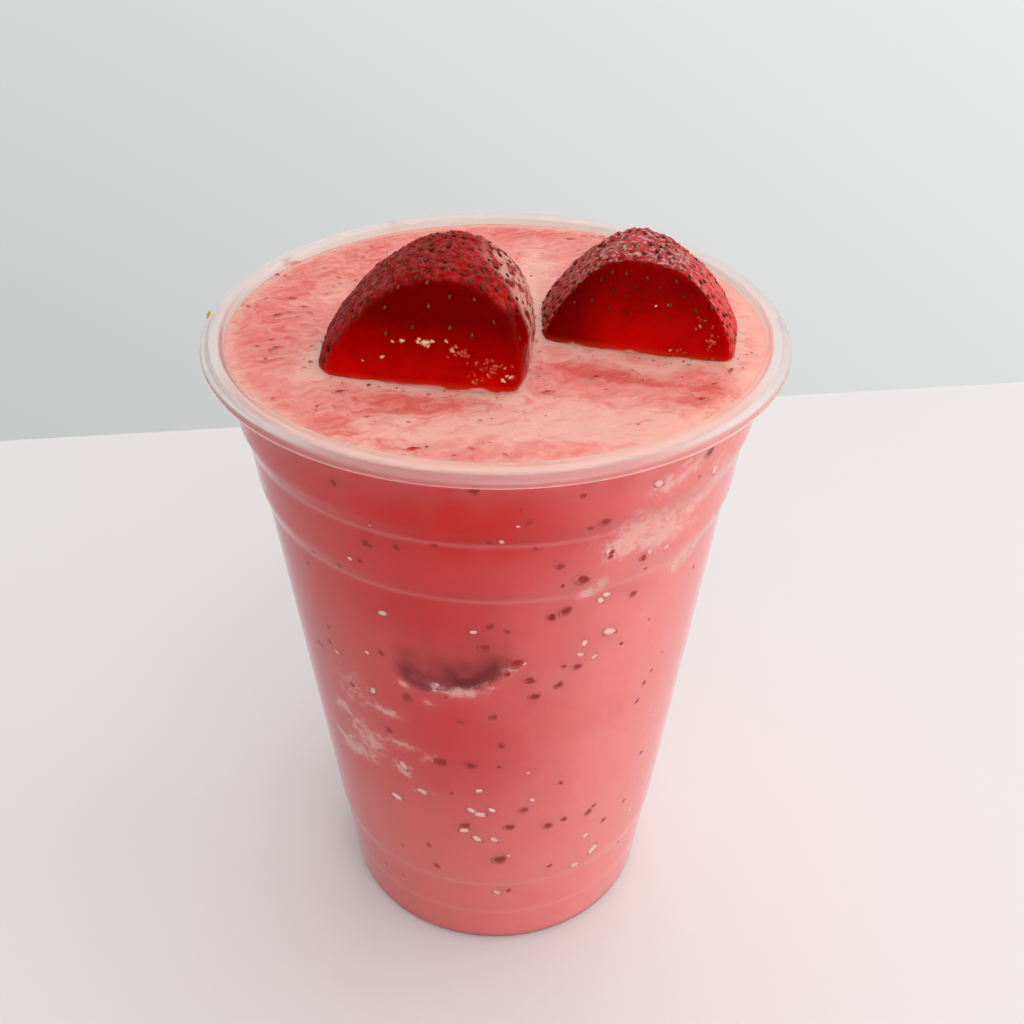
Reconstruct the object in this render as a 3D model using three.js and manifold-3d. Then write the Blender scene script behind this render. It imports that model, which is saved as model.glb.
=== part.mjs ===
// A clear plastic cup filled to the brim with strawberry shake, with two strawberry pieces on top.
// Millimetres, +Z up. The origin is the middle of the cup's foot, on the surface that it stands on.

import * as THREE from 'three';
import { mergeVertices } from 'three/addons/utils/BufferGeometryUtils.js';
import Module from 'manifold-3d';

const wasm = await Module();
wasm.setup();

// The cup's wall: a straight taper, with rings where the radius steps out over a short height.
const CUP_HEIGHT = 121.2;
const WALL = 0.6;
const TAPER_START_RADIUS = 29.46;
const TAPER = 0.1061;
const RINGS = [
  { from: 9.5, to: 10.5, out: 0.12 },
  { from: 19, to: 21, out: 0.33 },
  { from: 93.6, to: 96.8, out: 0.66 },
  { from: 105.2, to: 109, out: 0.88 },
  { from: 114.8, to: 115.8, out: 0.2 },
];

// The foot: a flat ring round a base that is pressed up in the middle.
const FOOT_WIDTH = 2.2;
const FOOT_ROUND = 2;
const BASE_RISE = 1.5;
const BASE_SLOPE = 1;

// The rim: a flat flange with a lip that turns down and ends in a round bead.
const RIM_RADIUS = 47.5;
const FLANGE_INNER_RADIUS = 43.9;
const FLANGE_OUTER_RADIUS = 46.3;
const BEAD_RADIUS = 0.8;
const BEAD_HEIGHT = 119.7;
const NECK_HEIGHT = 118.9;

// The shake: its mean level, and the clearance to what holds it and what floats in it.
const SHAKE_LEVEL = 120.3;
const CLEARANCE = 0.3;
const SWELL = 0.28;
const SWELL_LENGTH = 9;
const SWELL_SHIFT = 0.6;
const RIPPLE = 0.16;
const RIPPLE_LENGTH = 6.5;
const EDGE_DIP = 0.5;
const EDGE_DIP_WIDTH = 6;
const TOP_RING_STEP = 5.5;

// The berry pieces: a rounded cone over an uneven footprint, cut by a face that leans back.
// rise and sunk are above and below the waterline; left, right, front and back are the footprint,
// measured from under the tip moved by foot, by which the cone leans.
// cone is 1 for a round dome and 2 for a straight cone; coneLean adds to it on the right side.
const WATERLINE = 120.2;
const SUNK_ROUND = 0.7;
const BERRIES = [
  {
    name: 'berry_left',
    tip: new THREE.Vector2(-6.9, -4.6),
    foot: new THREE.Vector2(-4.6, -5.6),
    rise: 17.1,
    sunk: 9,
    left: 16,
    right: 17,
    front: 27,
    back: 14,
    cone: 1.1,
    coneLean: -0.05,
    coneFront: 0.74,
    faceAt: new THREE.Vector2(-11.4, -21.9),
    faceTurn: -9.5,
    faceLean: 13,
    faceRound: 3.5,
    bareBelow: 0,
    seed: 11,
  },
  {
    name: 'berry_right',
    tip: new THREE.Vector2(22.8, 5.1),
    foot: new THREE.Vector2(0.5, -2.7),
    rise: 14.4,
    sunk: 8,
    left: 16.5,
    right: 15.8,
    front: 28,
    back: 12,
    cone: 1.37,
    coneLean: -0.04,
    coneFront: 0.69,
    faceAt: new THREE.Vector2(22, -10.3),
    faceTurn: -14.7,
    faceLean: 14,
    faceRound: 1.2,
    bareBelow: 6,
    seed: 23,
  },
];

// The seeds on the berries: one in each pit, standing a little proud of the skin.
const SEED_SIZE = new THREE.Vector3(0.8, 0.52, 0.42);
const SEED_SINK = 0.12;
const SEED_SPACING = 4.6;
const SEED_TRIES = 900;
const SEED_CLEAR_OF_SHAKE = 2;
const FACE_SIDE = -0.5;

// How finely the round shapes are split.
const TURN_STEPS = 48;
const BERRY_STEPS = 36;
const BERRY_RINGS = 20;
const MERGE_DISTANCE = 1e-4;
const NORMAL_STEP = 0.01;

const clamp01 = (value) => THREE.MathUtils.clamp(value, 0, 1);

// Numbers from 0 to 1 that are the same on every run.
function seededDraw(seed) {
  const factor = 48271;
  const modulus = 2147483647;
  let state = seed;
  return () => {
    state = (state * factor) % modulus;
    return state / modulus;
  };
}

// The wall's outer radius at a height.
function wallRadius(height) {
  const steps = RINGS.map((ring) => ring.out * clamp01((height - ring.from) / (ring.to - ring.from)));
  return TAPER_START_RADIUS + TAPER * height + steps.reduce((sum, step) => sum + step, 0);
}

// The heights where the wall's slope changes, between two heights.
function wallHeights(low, high) {
  const bends = RINGS.flatMap((ring) => [ring.from, ring.to]);
  return [low, ...bends.filter((height) => height > low && height < high), high];
}

// Points on an arc, in degrees, with its ends.
function arc(x, y, radius, start, end, steps) {
  return Array.from({ length: steps + 1 }, (_, i) => {
    const angle = THREE.MathUtils.degToRad(start + ((end - start) * i) / steps);
    return new THREE.Vector2(x + radius * Math.cos(angle), y + radius * Math.sin(angle));
  });
}

// A closed mesh with shared vertices and no triangle that has shrunk to a line.
function closedMesh(geometry) {
  const bare = geometry.clone();
  bare.deleteAttribute('normal');
  bare.deleteAttribute('uv');
  const merged = mergeVertices(bare, MERGE_DISTANCE);
  const old = merged.index.array;
  const kept = [];
  for (let i = 0; i < old.length; i += 3) {
    const [a, b, c] = [old[i], old[i + 1], old[i + 2]];
    if (a !== b && b !== c && c !== a) {
      kept.push(a, b, c);
    }
  }
  merged.setIndex(kept);
  return merged;
}

// A profile of radius and height turned round the Z axis.
function turned(profile) {
  const lathe = new THREE.LatheGeometry(profile, TURN_STEPS);
  lathe.rotateX(Math.PI / 2);
  return closedMesh(lathe);
}

function toSolid(geometry) {
  const mesh = closedMesh(geometry);
  return new wasm.Manifold(new wasm.Mesh({
    numProp: 3,
    vertProperties: new Float32Array(mesh.attributes.position.array),
    triVerts: new Uint32Array(mesh.index.array),
  }));
}

function fromSolid(solid) {
  const mesh = solid.getMesh();
  const geometry = new THREE.BufferGeometry();
  geometry.setAttribute('position', new THREE.BufferAttribute(mesh.vertProperties, 3));
  geometry.setIndex(Array.from(mesh.triVerts));
  return geometry;
}

// The cup: under the base, up the outside, over the rim and back down the inside.
function cupGeometry() {
  const wallFoot = wallRadius(FOOT_ROUND);
  const footOuter = wallFoot - FOOT_ROUND;
  const footInner = footOuter - FOOT_WIDTH;
  const floor = BASE_RISE + WALL;
  const outside = wallHeights(FOOT_ROUND, NECK_HEIGHT).slice(1);
  const inside = wallHeights(floor + WALL, NECK_HEIGHT).reverse();
  const flangeUnder = CUP_HEIGHT - WALL;
  const profile = [
    new THREE.Vector2(0, BASE_RISE),
    new THREE.Vector2(footInner - BASE_SLOPE, BASE_RISE),
    new THREE.Vector2(footInner, 0),
    ...arc(footOuter, FOOT_ROUND, FOOT_ROUND, -90, 0, 3),
    ...outside.map((height) => new THREE.Vector2(wallRadius(height), height)),
    new THREE.Vector2(FLANGE_INNER_RADIUS + WALL, flangeUnder),
    new THREE.Vector2(FLANGE_OUTER_RADIUS - WALL / 2, flangeUnder),
    ...arc(RIM_RADIUS - BEAD_RADIUS, BEAD_HEIGHT, BEAD_RADIUS, 200, 440, 6),
    new THREE.Vector2(FLANGE_OUTER_RADIUS, CUP_HEIGHT),
    new THREE.Vector2(FLANGE_INNER_RADIUS, CUP_HEIGHT),
    new THREE.Vector2(FLANGE_INNER_RADIUS - WALL / 3, CUP_HEIGHT - WALL / 2),
    ...inside.map((height) => new THREE.Vector2(wallRadius(height) - WALL, height)),
    new THREE.Vector2(wallRadius(floor) - 2 * WALL, floor),
    new THREE.Vector2(0, floor),
  ];
  return turned(profile);
}

// The shake's uneven top: long swells with ripples across them, dipping towards the wall.
function shakeTop(x, y) {
  const swell = SWELL * Math.sin(x / SWELL_LENGTH + SWELL_SHIFT) * Math.cos(y / SWELL_LENGTH - SWELL_SHIFT);
  const ripple = RIPPLE * Math.sin((x + 2 * y) / RIPPLE_LENGTH);
  const edge = wallRadius(SHAKE_LEVEL) - WALL - CLEARANCE;
  const dip = EDGE_DIP * clamp01(1 - (edge - Math.hypot(x, y)) / EDGE_DIP_WIDTH) ** 2;
  return SHAKE_LEVEL + swell + ripple - dip;
}

// The shake: the inside of the cup, less the clearance, cut round the berries.
function shakeGeometry() {
  const inset = WALL + CLEARANCE;
  const bottom = BASE_RISE + WALL + CLEARANCE;
  const edgeRadius = wallRadius(SHAKE_LEVEL) - inset;
  const sides = wallHeights(bottom + WALL, NECK_HEIGHT);
  const topRings = Math.round(edgeRadius / TOP_RING_STEP);
  const profile = [
    new THREE.Vector2(0, bottom),
    new THREE.Vector2(wallRadius(bottom) - inset - WALL, bottom),
    ...sides.map((height) => new THREE.Vector2(wallRadius(height) - inset, height)),
    ...Array.from({ length: topRings + 1 }, (_, i) => (
      new THREE.Vector2(edgeRadius * (1 - i / topRings), SHAKE_LEVEL)
    )),
  ];
  const body = turned(profile);
  const place = body.attributes.position;
  for (let i = 0; i < place.count; i += 1) {
    if (place.getZ(i) > SHAKE_LEVEL - MERGE_DISTANCE) {
      place.setZ(i, shakeTop(place.getX(i), place.getY(i)));
    }
  }
  const seats = BERRIES.map((berry) => toSolid(berryBody(berry, CLEARANCE)));
  return fromSolid(seats.reduce((solid, seat) => solid.subtract(seat), toSolid(body)));
}

// A point of a berry's skin, for a direction on the unit sphere, moved out by grow.
function berryPoint(berry, direction, grow = 0) {
  const turn = Math.atan2(direction.y, direction.x);
  const across = Math.hypot(direction.x, direction.y);
  const forward = Math.max(0, -Math.sin(turn)) ** 2;
  const sideCone = berry.cone + berry.coneLean * Math.cos(turn);
  const cone = THREE.MathUtils.lerp(sideCone, berry.coneFront, forward);
  const halfWidth = (Math.cos(turn) > 0 ? berry.right : berry.left) + grow;
  const halfDepth = (Math.sin(turn) > 0 ? berry.back : berry.front) + grow;
  const reach = 1 / Math.hypot(Math.cos(turn) / halfWidth, Math.sin(turn) / halfDepth);
  const radius = reach * across ** cone;
  const half = (direction.z > 0 ? berry.rise : berry.sunk) + grow;
  const bend = direction.z > 0 ? cone : SUNK_ROUND;
  const height = half * Math.sign(direction.z) * Math.abs(direction.z) ** bend;
  const low = 1 - Math.max(0, height) / half;
  const point = new THREE.Vector3(
    berry.tip.x + berry.foot.x * low + radius * Math.cos(turn),
    berry.tip.y + berry.foot.y * low + radius * Math.sin(turn),
    WATERLINE + height,
  );
  return cutByFace(berry, point, grow);
}

// Moves a point that is in front of a berry's leaning face back onto it, with a rounded edge.
function cutByFace(berry, point, grow) {
  const turn = THREE.MathUtils.degToRad(berry.faceTurn);
  const lean = THREE.MathUtils.degToRad(berry.faceLean);
  const outward = new THREE.Vector3(
    Math.sin(turn) * Math.cos(lean),
    -Math.cos(turn) * Math.cos(lean),
    Math.sin(lean),
  );
  const faceAt = new THREE.Vector3(berry.faceAt.x, berry.faceAt.y, WATERLINE);
  const ahead = outward.dot(point.clone().sub(faceAt)) - grow;
  const moved = (ahead + Math.hypot(ahead, berry.faceRound)) / 2;
  return point.addScaledVector(outward, -moved);
}

// A berry without its seeds.
function berryBody(berry, grow = 0) {
  const ball = new THREE.SphereGeometry(1, BERRY_STEPS, BERRY_RINGS);
  ball.rotateX(Math.PI / 2);
  const body = closedMesh(ball);
  const place = body.attributes.position;
  for (let i = 0; i < place.count; i += 1) {
    const direction = new THREE.Vector3().fromBufferAttribute(place, i);
    place.setXYZ(i, ...berryPoint(berry, direction, grow));
  }
  return body;
}

// Even places for seeds on the part of a berry that shows, each as a frame that lies on the skin.
function seedFrames(berry) {
  const draw = seededDraw(berry.seed);
  const kept = [];
  for (let i = 0; i < SEED_TRIES; i += 1) {
    const turn = 2 * Math.PI * draw();
    const lift = Math.asin(draw());
    const at = (dTurn, dLift) => berryPoint(berry, new THREE.Vector3(
      Math.cos(turn + dTurn) * Math.cos(lift + dLift),
      Math.sin(turn + dTurn) * Math.cos(lift + dLift),
      Math.sin(lift + dLift),
    ));
    const point = at(0, 0);
    const onFace = Math.sin(turn) < FACE_SIDE;
    const lowest = WATERLINE + SEED_CLEAR_OF_SHAKE + (onFace ? berry.bareBelow : 0);
    const free = kept.every((frame) => frame.point.distanceTo(point) > SEED_SPACING);
    if (free && point.z > lowest) {
      const along = at(0, NORMAL_STEP).sub(point).normalize();
      const side = at(NORMAL_STEP, 0).sub(point);
      const up = new THREE.Vector3().crossVectors(side, along).normalize();
      const across = new THREE.Vector3().crossVectors(up, along);
      kept.push({ point, along, across, up });
    }
  }
  return kept;
}

// A berry with its seeds fused on.
function berryGeometry(berry) {
  const seeds = seedFrames(berry).map((frame) => {
    const seed = new THREE.IcosahedronGeometry(1, 0);
    seed.scale(SEED_SIZE.x, SEED_SIZE.y, SEED_SIZE.z);
    seed.applyMatrix4(new THREE.Matrix4().makeBasis(frame.along, frame.across, frame.up));
    seed.translate(...frame.point.clone().addScaledVector(frame.up, -SEED_SINK));
    return toSolid(seed);
  });
  return fromSolid(seeds.reduce((solid, seed) => solid.add(seed), toSolid(berryBody(berry))));
}

function piece(name, geometry, finish) {
  const mesh = new THREE.Mesh(geometry, new THREE.MeshStandardMaterial(finish));
  mesh.name = name;
  geometry.computeVertexNormals();
  return mesh;
}

const CLEAR_PLASTIC = { color: 0xe9e6e4, roughness: 0.15, metalness: 0, transparent: true, opacity: 0.3 };
const PINK_SHAKE = { color: 0xe88f86, roughness: 0.45, metalness: 0 };
const RED_BERRY = { color: 0x9c0d0b, roughness: 0.2, metalness: 0 };

const shakeInCup = new THREE.Group();
shakeInCup.add(piece('cup', cupGeometry(), CLEAR_PLASTIC));
shakeInCup.add(piece('shake', shakeGeometry(), PINK_SHAKE));
for (const berry of BERRIES) {
  shakeInCup.add(piece(berry.name, berryGeometry(berry), RED_BERRY));
}

export default shakeInCup;
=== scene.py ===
"""A clear cup of strawberry shake with two berry pieces on top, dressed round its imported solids."""

import math
from dataclasses import dataclass

import bmesh
import bpy
import numpy as np
from bpy.props import FloatProperty, FloatVectorProperty, IntProperty, PointerProperty
from mathutils import Matrix, Vector, noise


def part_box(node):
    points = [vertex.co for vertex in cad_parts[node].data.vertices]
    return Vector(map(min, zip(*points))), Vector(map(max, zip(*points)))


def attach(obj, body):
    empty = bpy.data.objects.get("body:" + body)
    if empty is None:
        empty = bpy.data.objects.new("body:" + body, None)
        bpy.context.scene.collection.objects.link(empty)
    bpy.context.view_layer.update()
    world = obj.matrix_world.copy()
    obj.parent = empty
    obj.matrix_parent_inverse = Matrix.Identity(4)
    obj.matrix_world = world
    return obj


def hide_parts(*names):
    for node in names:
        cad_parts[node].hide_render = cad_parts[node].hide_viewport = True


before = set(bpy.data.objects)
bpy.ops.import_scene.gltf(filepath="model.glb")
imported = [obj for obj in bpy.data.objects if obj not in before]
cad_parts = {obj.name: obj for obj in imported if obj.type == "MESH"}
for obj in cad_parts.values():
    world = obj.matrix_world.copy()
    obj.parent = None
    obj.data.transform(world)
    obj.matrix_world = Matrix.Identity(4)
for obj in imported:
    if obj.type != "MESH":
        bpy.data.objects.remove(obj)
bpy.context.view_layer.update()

bl_info = {
    "name": "Strawberry shake in a clear cup",
    "version": (1, 0, 0),
    "blender": (4, 5, 0),
    "location": "View3D > Sidebar > Shake",
    "description": "Makes a clear cup of strawberry shake with two berry pieces, and its stage",
    "category": "Add Mesh",
}

BODY = "root"
MM = 0.001
CUP_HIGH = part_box("cup")[1]

# The cup's wall in millimetres: a straight taper, with rings that step out over a short height.
TAPER_START_RADIUS = 29.46
TAPER = 0.1061
RINGS = (
    (9.5, 10.5, 0.12),
    (19.0, 21.0, 0.33),
    (93.6, 96.8, 0.66),
    (105.2, 109.0, 0.88),
    (114.8, 115.8, 0.2),
)
RING_ROUND = 0.5
# Half height of the painted highlight under each ring, in millimetres.
RING_HIGHLIGHT_HALF = 0.8
NECK_HEIGHT = 118.9
FLANGE_INNER = 43.9
FLANGE_OUTER = 46.3
BEAD_CENTRE = 46.7
BEAD_HEIGHT = 119.7
WELD = 0.005
WATERLINE = 120.2
SHAKE_FOOT_ROUND = 2.0

# Rows of the shake's mesh, and how many places are tried or made where bits lie at random.
TOP_ROWS = 116
SIDE_ROWS = 118
OUTLINE_STEPS = 420
SEED_TRIES = 9000
LOOSE_SPECKS = 130
CHIP_TRIES = 5200


@dataclass(frozen=True)
class BerryForm:
    """A berry piece in millimetres: a rounded cone on an uneven footprint, cut by a leaning face."""

    node: str
    tip: tuple
    foot: tuple
    rise: float
    sunk: float
    left: float
    right: float
    front: float
    back: float
    cone: float
    cone_lean: float
    cone_front: float
    face_at: tuple
    face_turn: float
    face_lean: float
    face_round: float
    bare_below: float
    face_spacing: float
    face_tone: float
    # Painted light: the flesh and skin brightness of each piece, highest on the right piece, which the window
    # lamp lights.
    flesh_painted_light: float
    skin_painted_light: float
    gloss: float
    shine: float
    # Painted highlight: how much pale sparkle is painted on the top skin.
    painted_sparkle: float
    seed: int


BERRIES = (
    BerryForm(
        node="berry_left", tip=(-6.9, -4.6), foot=(-4.6, -5.6), rise=17.1, sunk=9.0,
        left=16.0, right=17.0, front=27.0, back=14.0,
        cone=1.1, cone_lean=-0.05, cone_front=0.74,
        face_at=(-11.4, -21.9), face_turn=-9.5, face_lean=13.0, face_round=3.5,
        bare_below=6.5, face_spacing=2.1, face_tone=0.26,
        flesh_painted_light=0.95, skin_painted_light=1.35, gloss=0.0, shine=0.06, painted_sparkle=0.1, seed=11,
    ),
    BerryForm(
        node="berry_right", tip=(22.8, 5.1), foot=(0.5, -2.7), rise=14.4, sunk=8.0,
        left=16.5, right=15.8, front=28.0, back=12.0,
        cone=1.37, cone_lean=-0.04, cone_front=0.69,
        face_at=(22.0, -10.3), face_turn=-14.7, face_lean=14.0, face_round=1.2,
        bare_below=5.0, face_spacing=1.3, face_tone=0.12,
        flesh_painted_light=1.45, skin_painted_light=1.7, gloss=0.2, shine=0.12, painted_sparkle=0.9, seed=23,
    ),
)

# Painted glints on each berry's face, pale flat bits that stand in for highlights on the wet flesh: x, height
# above the waterline, size and paleness.
FACE_GLINTS = {
    "berry_left": (
        (-10.2, 6.8, 1.5, 1.0), (-11.3, 6.7, 0.9, 0.95), (-9.2, 7.1, 0.8, 0.9), (-10.9, 7.2, 0.6, 0.9),
        (-9.8, 6.3, 0.7, 0.8), (-13.5, 6.6, 0.9, 0.9), (-15.1, 6.4, 0.6, 0.8), (-16.5, 4.1, 0.8, 0.75),
        (-19.6, 3.2, 0.5, 0.6), (-6.9, 7.2, 0.7, 0.75), (-6.1, 5.9, 0.9, 0.6), (1.3, 2.0, 0.9, 0.85),
        (2.4, 2.5, 0.8, 0.8), (1.8, 2.8, 0.6, 0.7),
    ),
    "berry_right": ((24.5, 7.6, 0.5, 0.8), (26.3, 8.0, 0.35, 0.6)),
}
# Clusters of smaller ones: x, height, half width, half height and how many.
FACE_CLUSTERS = {
    "berry_left": ((-4.6, 5.3, 1.5, 1.1, 16), (-0.4, 3.7, 2.1, 1.2, 34), (-2.6, 1.9, 1.6, 0.5, 8)),
    "berry_right": ((33.3, 3.6, 0.7, 1.6, 18), (29.0, 1.3, 1.3, 0.4, 8), (31.5, 5.8, 0.6, 1.0, 6)),
}

# Patches on the shake's top, each as x, y, half length, half width, turn in degrees and strength.
TOP_FOAM = (
    (-6.0, -34.5, 18.0, 4.5, 3.0, 0.9),
    (12.0, -30.0, 16.0, 5.5, -4.0, 1.0),
    (24.0, -32.0, 9.0, 3.5, 20.0, 0.6),
    (5.6, 18.0, 4.5, 16.0, -8.0, 0.9),
    (6.2, 2.0, 3.0, 8.0, 0.0, 0.9),
    (-29.0, -15.0, 3.5, 8.0, 10.0, 0.7),
    (-14.0, -21.5, 14.0, 2.0, -10.0, 0.8),
    (20.0, -13.0, 15.0, 1.8, -15.0, 0.8),
    (-30.0, 14.0, 6.0, 9.0, 30.0, 0.35),
    (38.0, -12.0, 2.5, 9.0, 12.0, 0.5),
    (41.0, 2.0, 2.6, 9.0, -4.0, 0.8),
    (10.4, -7.6, 3.0, 0.8, -33.0, 1.0),
)
TOP_PULP = (
    (-11.0, -27.4, 8.5, 2.9, -6.0, 1.0),
    (13.0, -17.0, 7.0, 2.4, -6.0, 0.85),
    (24.0, -19.5, 9.0, 2.2, -12.0, 0.75),
    (31.0, -25.0, 6.0, 3.0, 30.0, 0.6),
    (6.0, 38.5, 13.0, 2.6, 0.0, 0.6),
    (-18.0, 33.0, 9.0, 3.0, 25.0, 0.4),
    (-36.0, 8.0, 3.0, 12.0, -6.0, 0.5),
    (-28.0, 22.0, 9.0, 6.0, 30.0, 0.42),
    (-34.0, -10.0, 5.0, 6.0, 0.0, 0.35),
    (-20.0, -34.0, 8.0, 2.5, -30.0, 0.45),
)

# Frosty smears on the shake's side, each as millimetres round from the front, height, half length,
# half width, turn in degrees and strength.
WALL_ARC = 0.7
SIDE_PALE = (
    (-33.4, 48.8, 5.5, 1.5, -5.0, 1.0), (-25.1, 54.6, 3.0, 2.4, 12.0, 0.6),
    (-20.6, 64.0, 2.6, 1.2, 6.0, 0.85), (-18.2, 57.0, 2.7, 1.1, -11.0, 0.75),
    (-33.4, 58.0, 3.4, 1.8, -3.0, 0.7), (-17.9, 50.5, 2.3, 1.5, -4.0, 0.7),
    (-12.8, 55.0, 2.0, 1.1, 26.0, 0.55), (-15.2, 44.9, 2.2, 1.0, 7.0, 0.6),
    (-11.4, 69.6, 1.5, 0.9, -11.0, 0.6), (-15.4, 72.4, 1.6, 1.0, -31.0, 0.75),
    (-6.5, 73.4, 3.4, 1.2, -3.0, 0.95), (-9.0, 75.0, 0.9, 1.1, -38.0, 0.85),
    (-1.0, 75.0, 2.1, 1.0, 23.0, 0.55), (2.7, 78.5, 1.5, 1.2, 39.0, 0.45),
    (-29.0, 66.0, 5.0, 5.0, 0.0, 0.35), (28.3, 113.0, 3.0, 1.7, 14.0, 0.75),
    (24.1, 105.2, 4.8, 2.8, -30.0, 0.55), (19.4, 102.8, 3.3, 1.8, -7.0, 0.9),
    (28.0, 101.2, 4.8, 1.3, -2.0, 0.9), (33.6, 104.2, 2.2, 1.1, 0.0, 0.85),
    (34.4, 92.5, 4.2, 1.8, 7.0, 1.0), (15.4, 94.6, 2.4, 1.3, 27.0, 0.85),
    (27.9, 85.0, 1.4, 1.0, 9.0, 0.4), (24.5, 112.1, 1.5, 1.0, -27.0, 0.7),
    (-29.0, 53.0, 6.0, 5.5, 0.0, 0.36), (25.0, 103.0, 9.0, 5.0, 0.0, 0.26),
    (38.0, 108.5, 4.0, 4.5, 20.0, 0.5), (84.0, 84.0, 11.0, 3.0, 6.0, 0.8),
    (76.0, 78.0, 6.0, 2.0, -4.0, 0.7), (-91.0, 66.0, 9.0, 3.0, -6.0, 0.8),
    (-80.0, 60.0, 6.0, 2.2, 5.0, 0.7), (105.0, 40.0, 10.0, 2.6, 4.0, 0.7),
    (-108.0, 98.0, 7.0, 2.4, -5.0, 0.7),
)
# Patches where the shake's side is reddest, each as degrees from the front, height, half width in degrees,
# half height and strength. The first, just under the rim, is painted shade.
SIDE_RED = (
    (-8.0, 109.0, 34.0, 9.0, 1.0),
    (-18.0, 91.0, 26.0, 10.0, 0.75),
    (-12.0, 62.0, 20.0, 14.0, 0.55),
    (170.0, 96.0, 30.0, 10.0, 0.6),
)

# The sunk berry's lower edge: degrees from the front and height, from its left end to its right end.
SUNK_EDGE = (
    (-24.0, 74.2), (-19.0, 73.4), (-13.0, 73.3), (-8.0, 73.7), (-4.0, 74.6),
    (-0.7, 75.8), (3.5, 78.4),
)

# Specks that show through the wall, each as degrees from the front, height and size.
WALL_SPECKS = (
    (-31.4, 113.2, 1.2), (-26.9, 102.5, 1.4), (-35.7, 95.4, 1.3), (-3.1, 116.5, 1.4), (-0.6, 106.7, 0.9),
    (7.1, 110.7, 0.9), (22.3, 108.7, 1.5), (33.7, 98.2, 1.5), (16.5, 90.9, 1.9), (13.2, 90.0, 1.7),
    (19.3, 97.4, 2.2), (33.5, 90.4, 1.5), (14.0, 100.9, 1.3), (17.0, 114.5, 1.1), (46.8, 114.6, 1.8),
    (-0.4, 88.8, 1.2), (3.3, 87.6, 1.0), (-1.8, 84.2, 1.7), (5.6, 80.6, 2.3), (-28.1, 78.4, 1.3),
    (-53.9, 70.7, 1.2), (-22.3, 69.6, 1.8), (-29.6, 59.1, 1.4), (8.9, 76.3, 1.8), (16.3, 74.3, 1.5),
    (10.4, 72.3, 1.7), (20.7, 77.7, 1.5), (0.1, 67.8, 1.3), (2.1, 60.5, 1.3), (-14.5, 54.9, 2.0),
    (-6.2, 54.9, 1.6), (19.6, 48.3, 1.0), (9.1, 42.5, 1.6), (30.7, 36.7, 1.6), (22.0, 37.3, 1.4),
    (4.9, 37.7, 1.8), (16.8, 36.6, 1.8), (-8.5, 37.8, 1.8), (2.0, 28.0, 2.5), (-19.3, 23.2, 1.4),
    (42.6, 62.2, 1.1), (-8.2, 66.0, 1.0),
)
# Bright frosty flecks there, each as degrees from the front, height and size.
WALL_FLECKS = (
    (28.3, 83.7, 1.9), (21.9, 82.7, 1.2), (21.1, 80.3, 1.1), (25.0, 78.9, 1.1), (-33.0, 67.9, 1.4),
    (-44.5, 72.6, 1.0), (-30.9, 40.6, 2.0), (-21.4, 45.1, 1.8), (-26.6, 50.8, 1.9), (-4.0, 41.4, 1.7),
    (-6.6, 42.4, 1.5), (-0.5, 42.8, 1.3), (-5.2, 34.1, 1.7), (0.1, 34.0, 1.5), (35.2, 23.6, 2.0),
    (28.4, 21.1, 1.6), (1.0, 16.7, 1.4), (-9.1, 36.2, 1.5), (-26.0, 87.9, 1.4), (-4.1, 48.2, 1.2),
    (30.9, 29.4, 1.2), (24.6, 91.4, 1.2), (26.0, 92.3, 1.2), (33.3, 113.0, 1.5), (50.2, 109.9, 1.4),
)

# Bright pulp bits on the shake's top, each as x, y, size and turn in degrees.
TOP_BITS = (
    (-37.4, 24.8, 2.6, 10.0), (-38.9, 19.5, 1.6, -40.0), (-34.9, 8.9, 1.5, 15.0), (-32.2, 5.5, 1.2, 0.0),
    (-36.0, 2.0, 1.9, 30.0), (-37.6, -8.5, 1.0, 0.0), (-34.5, -9.1, 1.6, 20.0), (-22.7, -23.9, 1.7, 15.0),
    (-10.9, -38.6, 1.9, 5.0), (13.2, 36.1, 1.8, 0.0), (-20.1, 42.0, 1.6, 10.0), (15.5, -17.8, 1.7, 10.0),
    (8.0, -22.5, 1.5, 5.0), (30.5, -24.8, 1.6, 20.0), (33.0, -20.0, 1.2, 35.0), (36.0, -16.0, 1.2, 60.0),
)
RIM_SEED_TURN = 176.7


class CupSizes(bpy.types.PropertyGroup):
    """Sizes and finish of the cup."""

    height: FloatProperty(
        name="Height", description="From the foot to the rim's top",
        default=CUP_HIGH.z, unit="LENGTH",
    )
    rim_radius: FloatProperty(
        name="Rim radius", description="Outer radius of the bead on the lip",
        default=CUP_HIGH.x, unit="LENGTH",
    )
    wall: FloatProperty(
        name="Wall", description="Thickness of the plastic", default=0.6 * MM, unit="LENGTH",
    )
    foot_round: FloatProperty(
        name="Foot round", description="Radius between foot and wall", default=2.0 * MM, unit="LENGTH",
    )
    foot_width: FloatProperty(
        name="Foot width", description="Width of the flat ring it stands on",
        default=2.2 * MM, unit="LENGTH",
    )
    base_rise: FloatProperty(
        name="Base rise", description="How far the base is pressed up inside the foot",
        default=1.5 * MM, unit="LENGTH",
    )
    steps: IntProperty(name="Steps", description="Facets round the cup", default=256, min=32)
    tint: FloatVectorProperty(
        name="Tint", description="Colour of the clear plastic", subtype="COLOR", size=3,
        default=(0.97, 0.97, 0.965), min=0.0, max=1.0,
    )
    rim_tint: FloatVectorProperty(
        name="Rim tint", description="Colour of the milky rim", subtype="COLOR", size=3,
        default=(0.92, 0.84, 0.8), min=0.0, max=1.0,
    )


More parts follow.
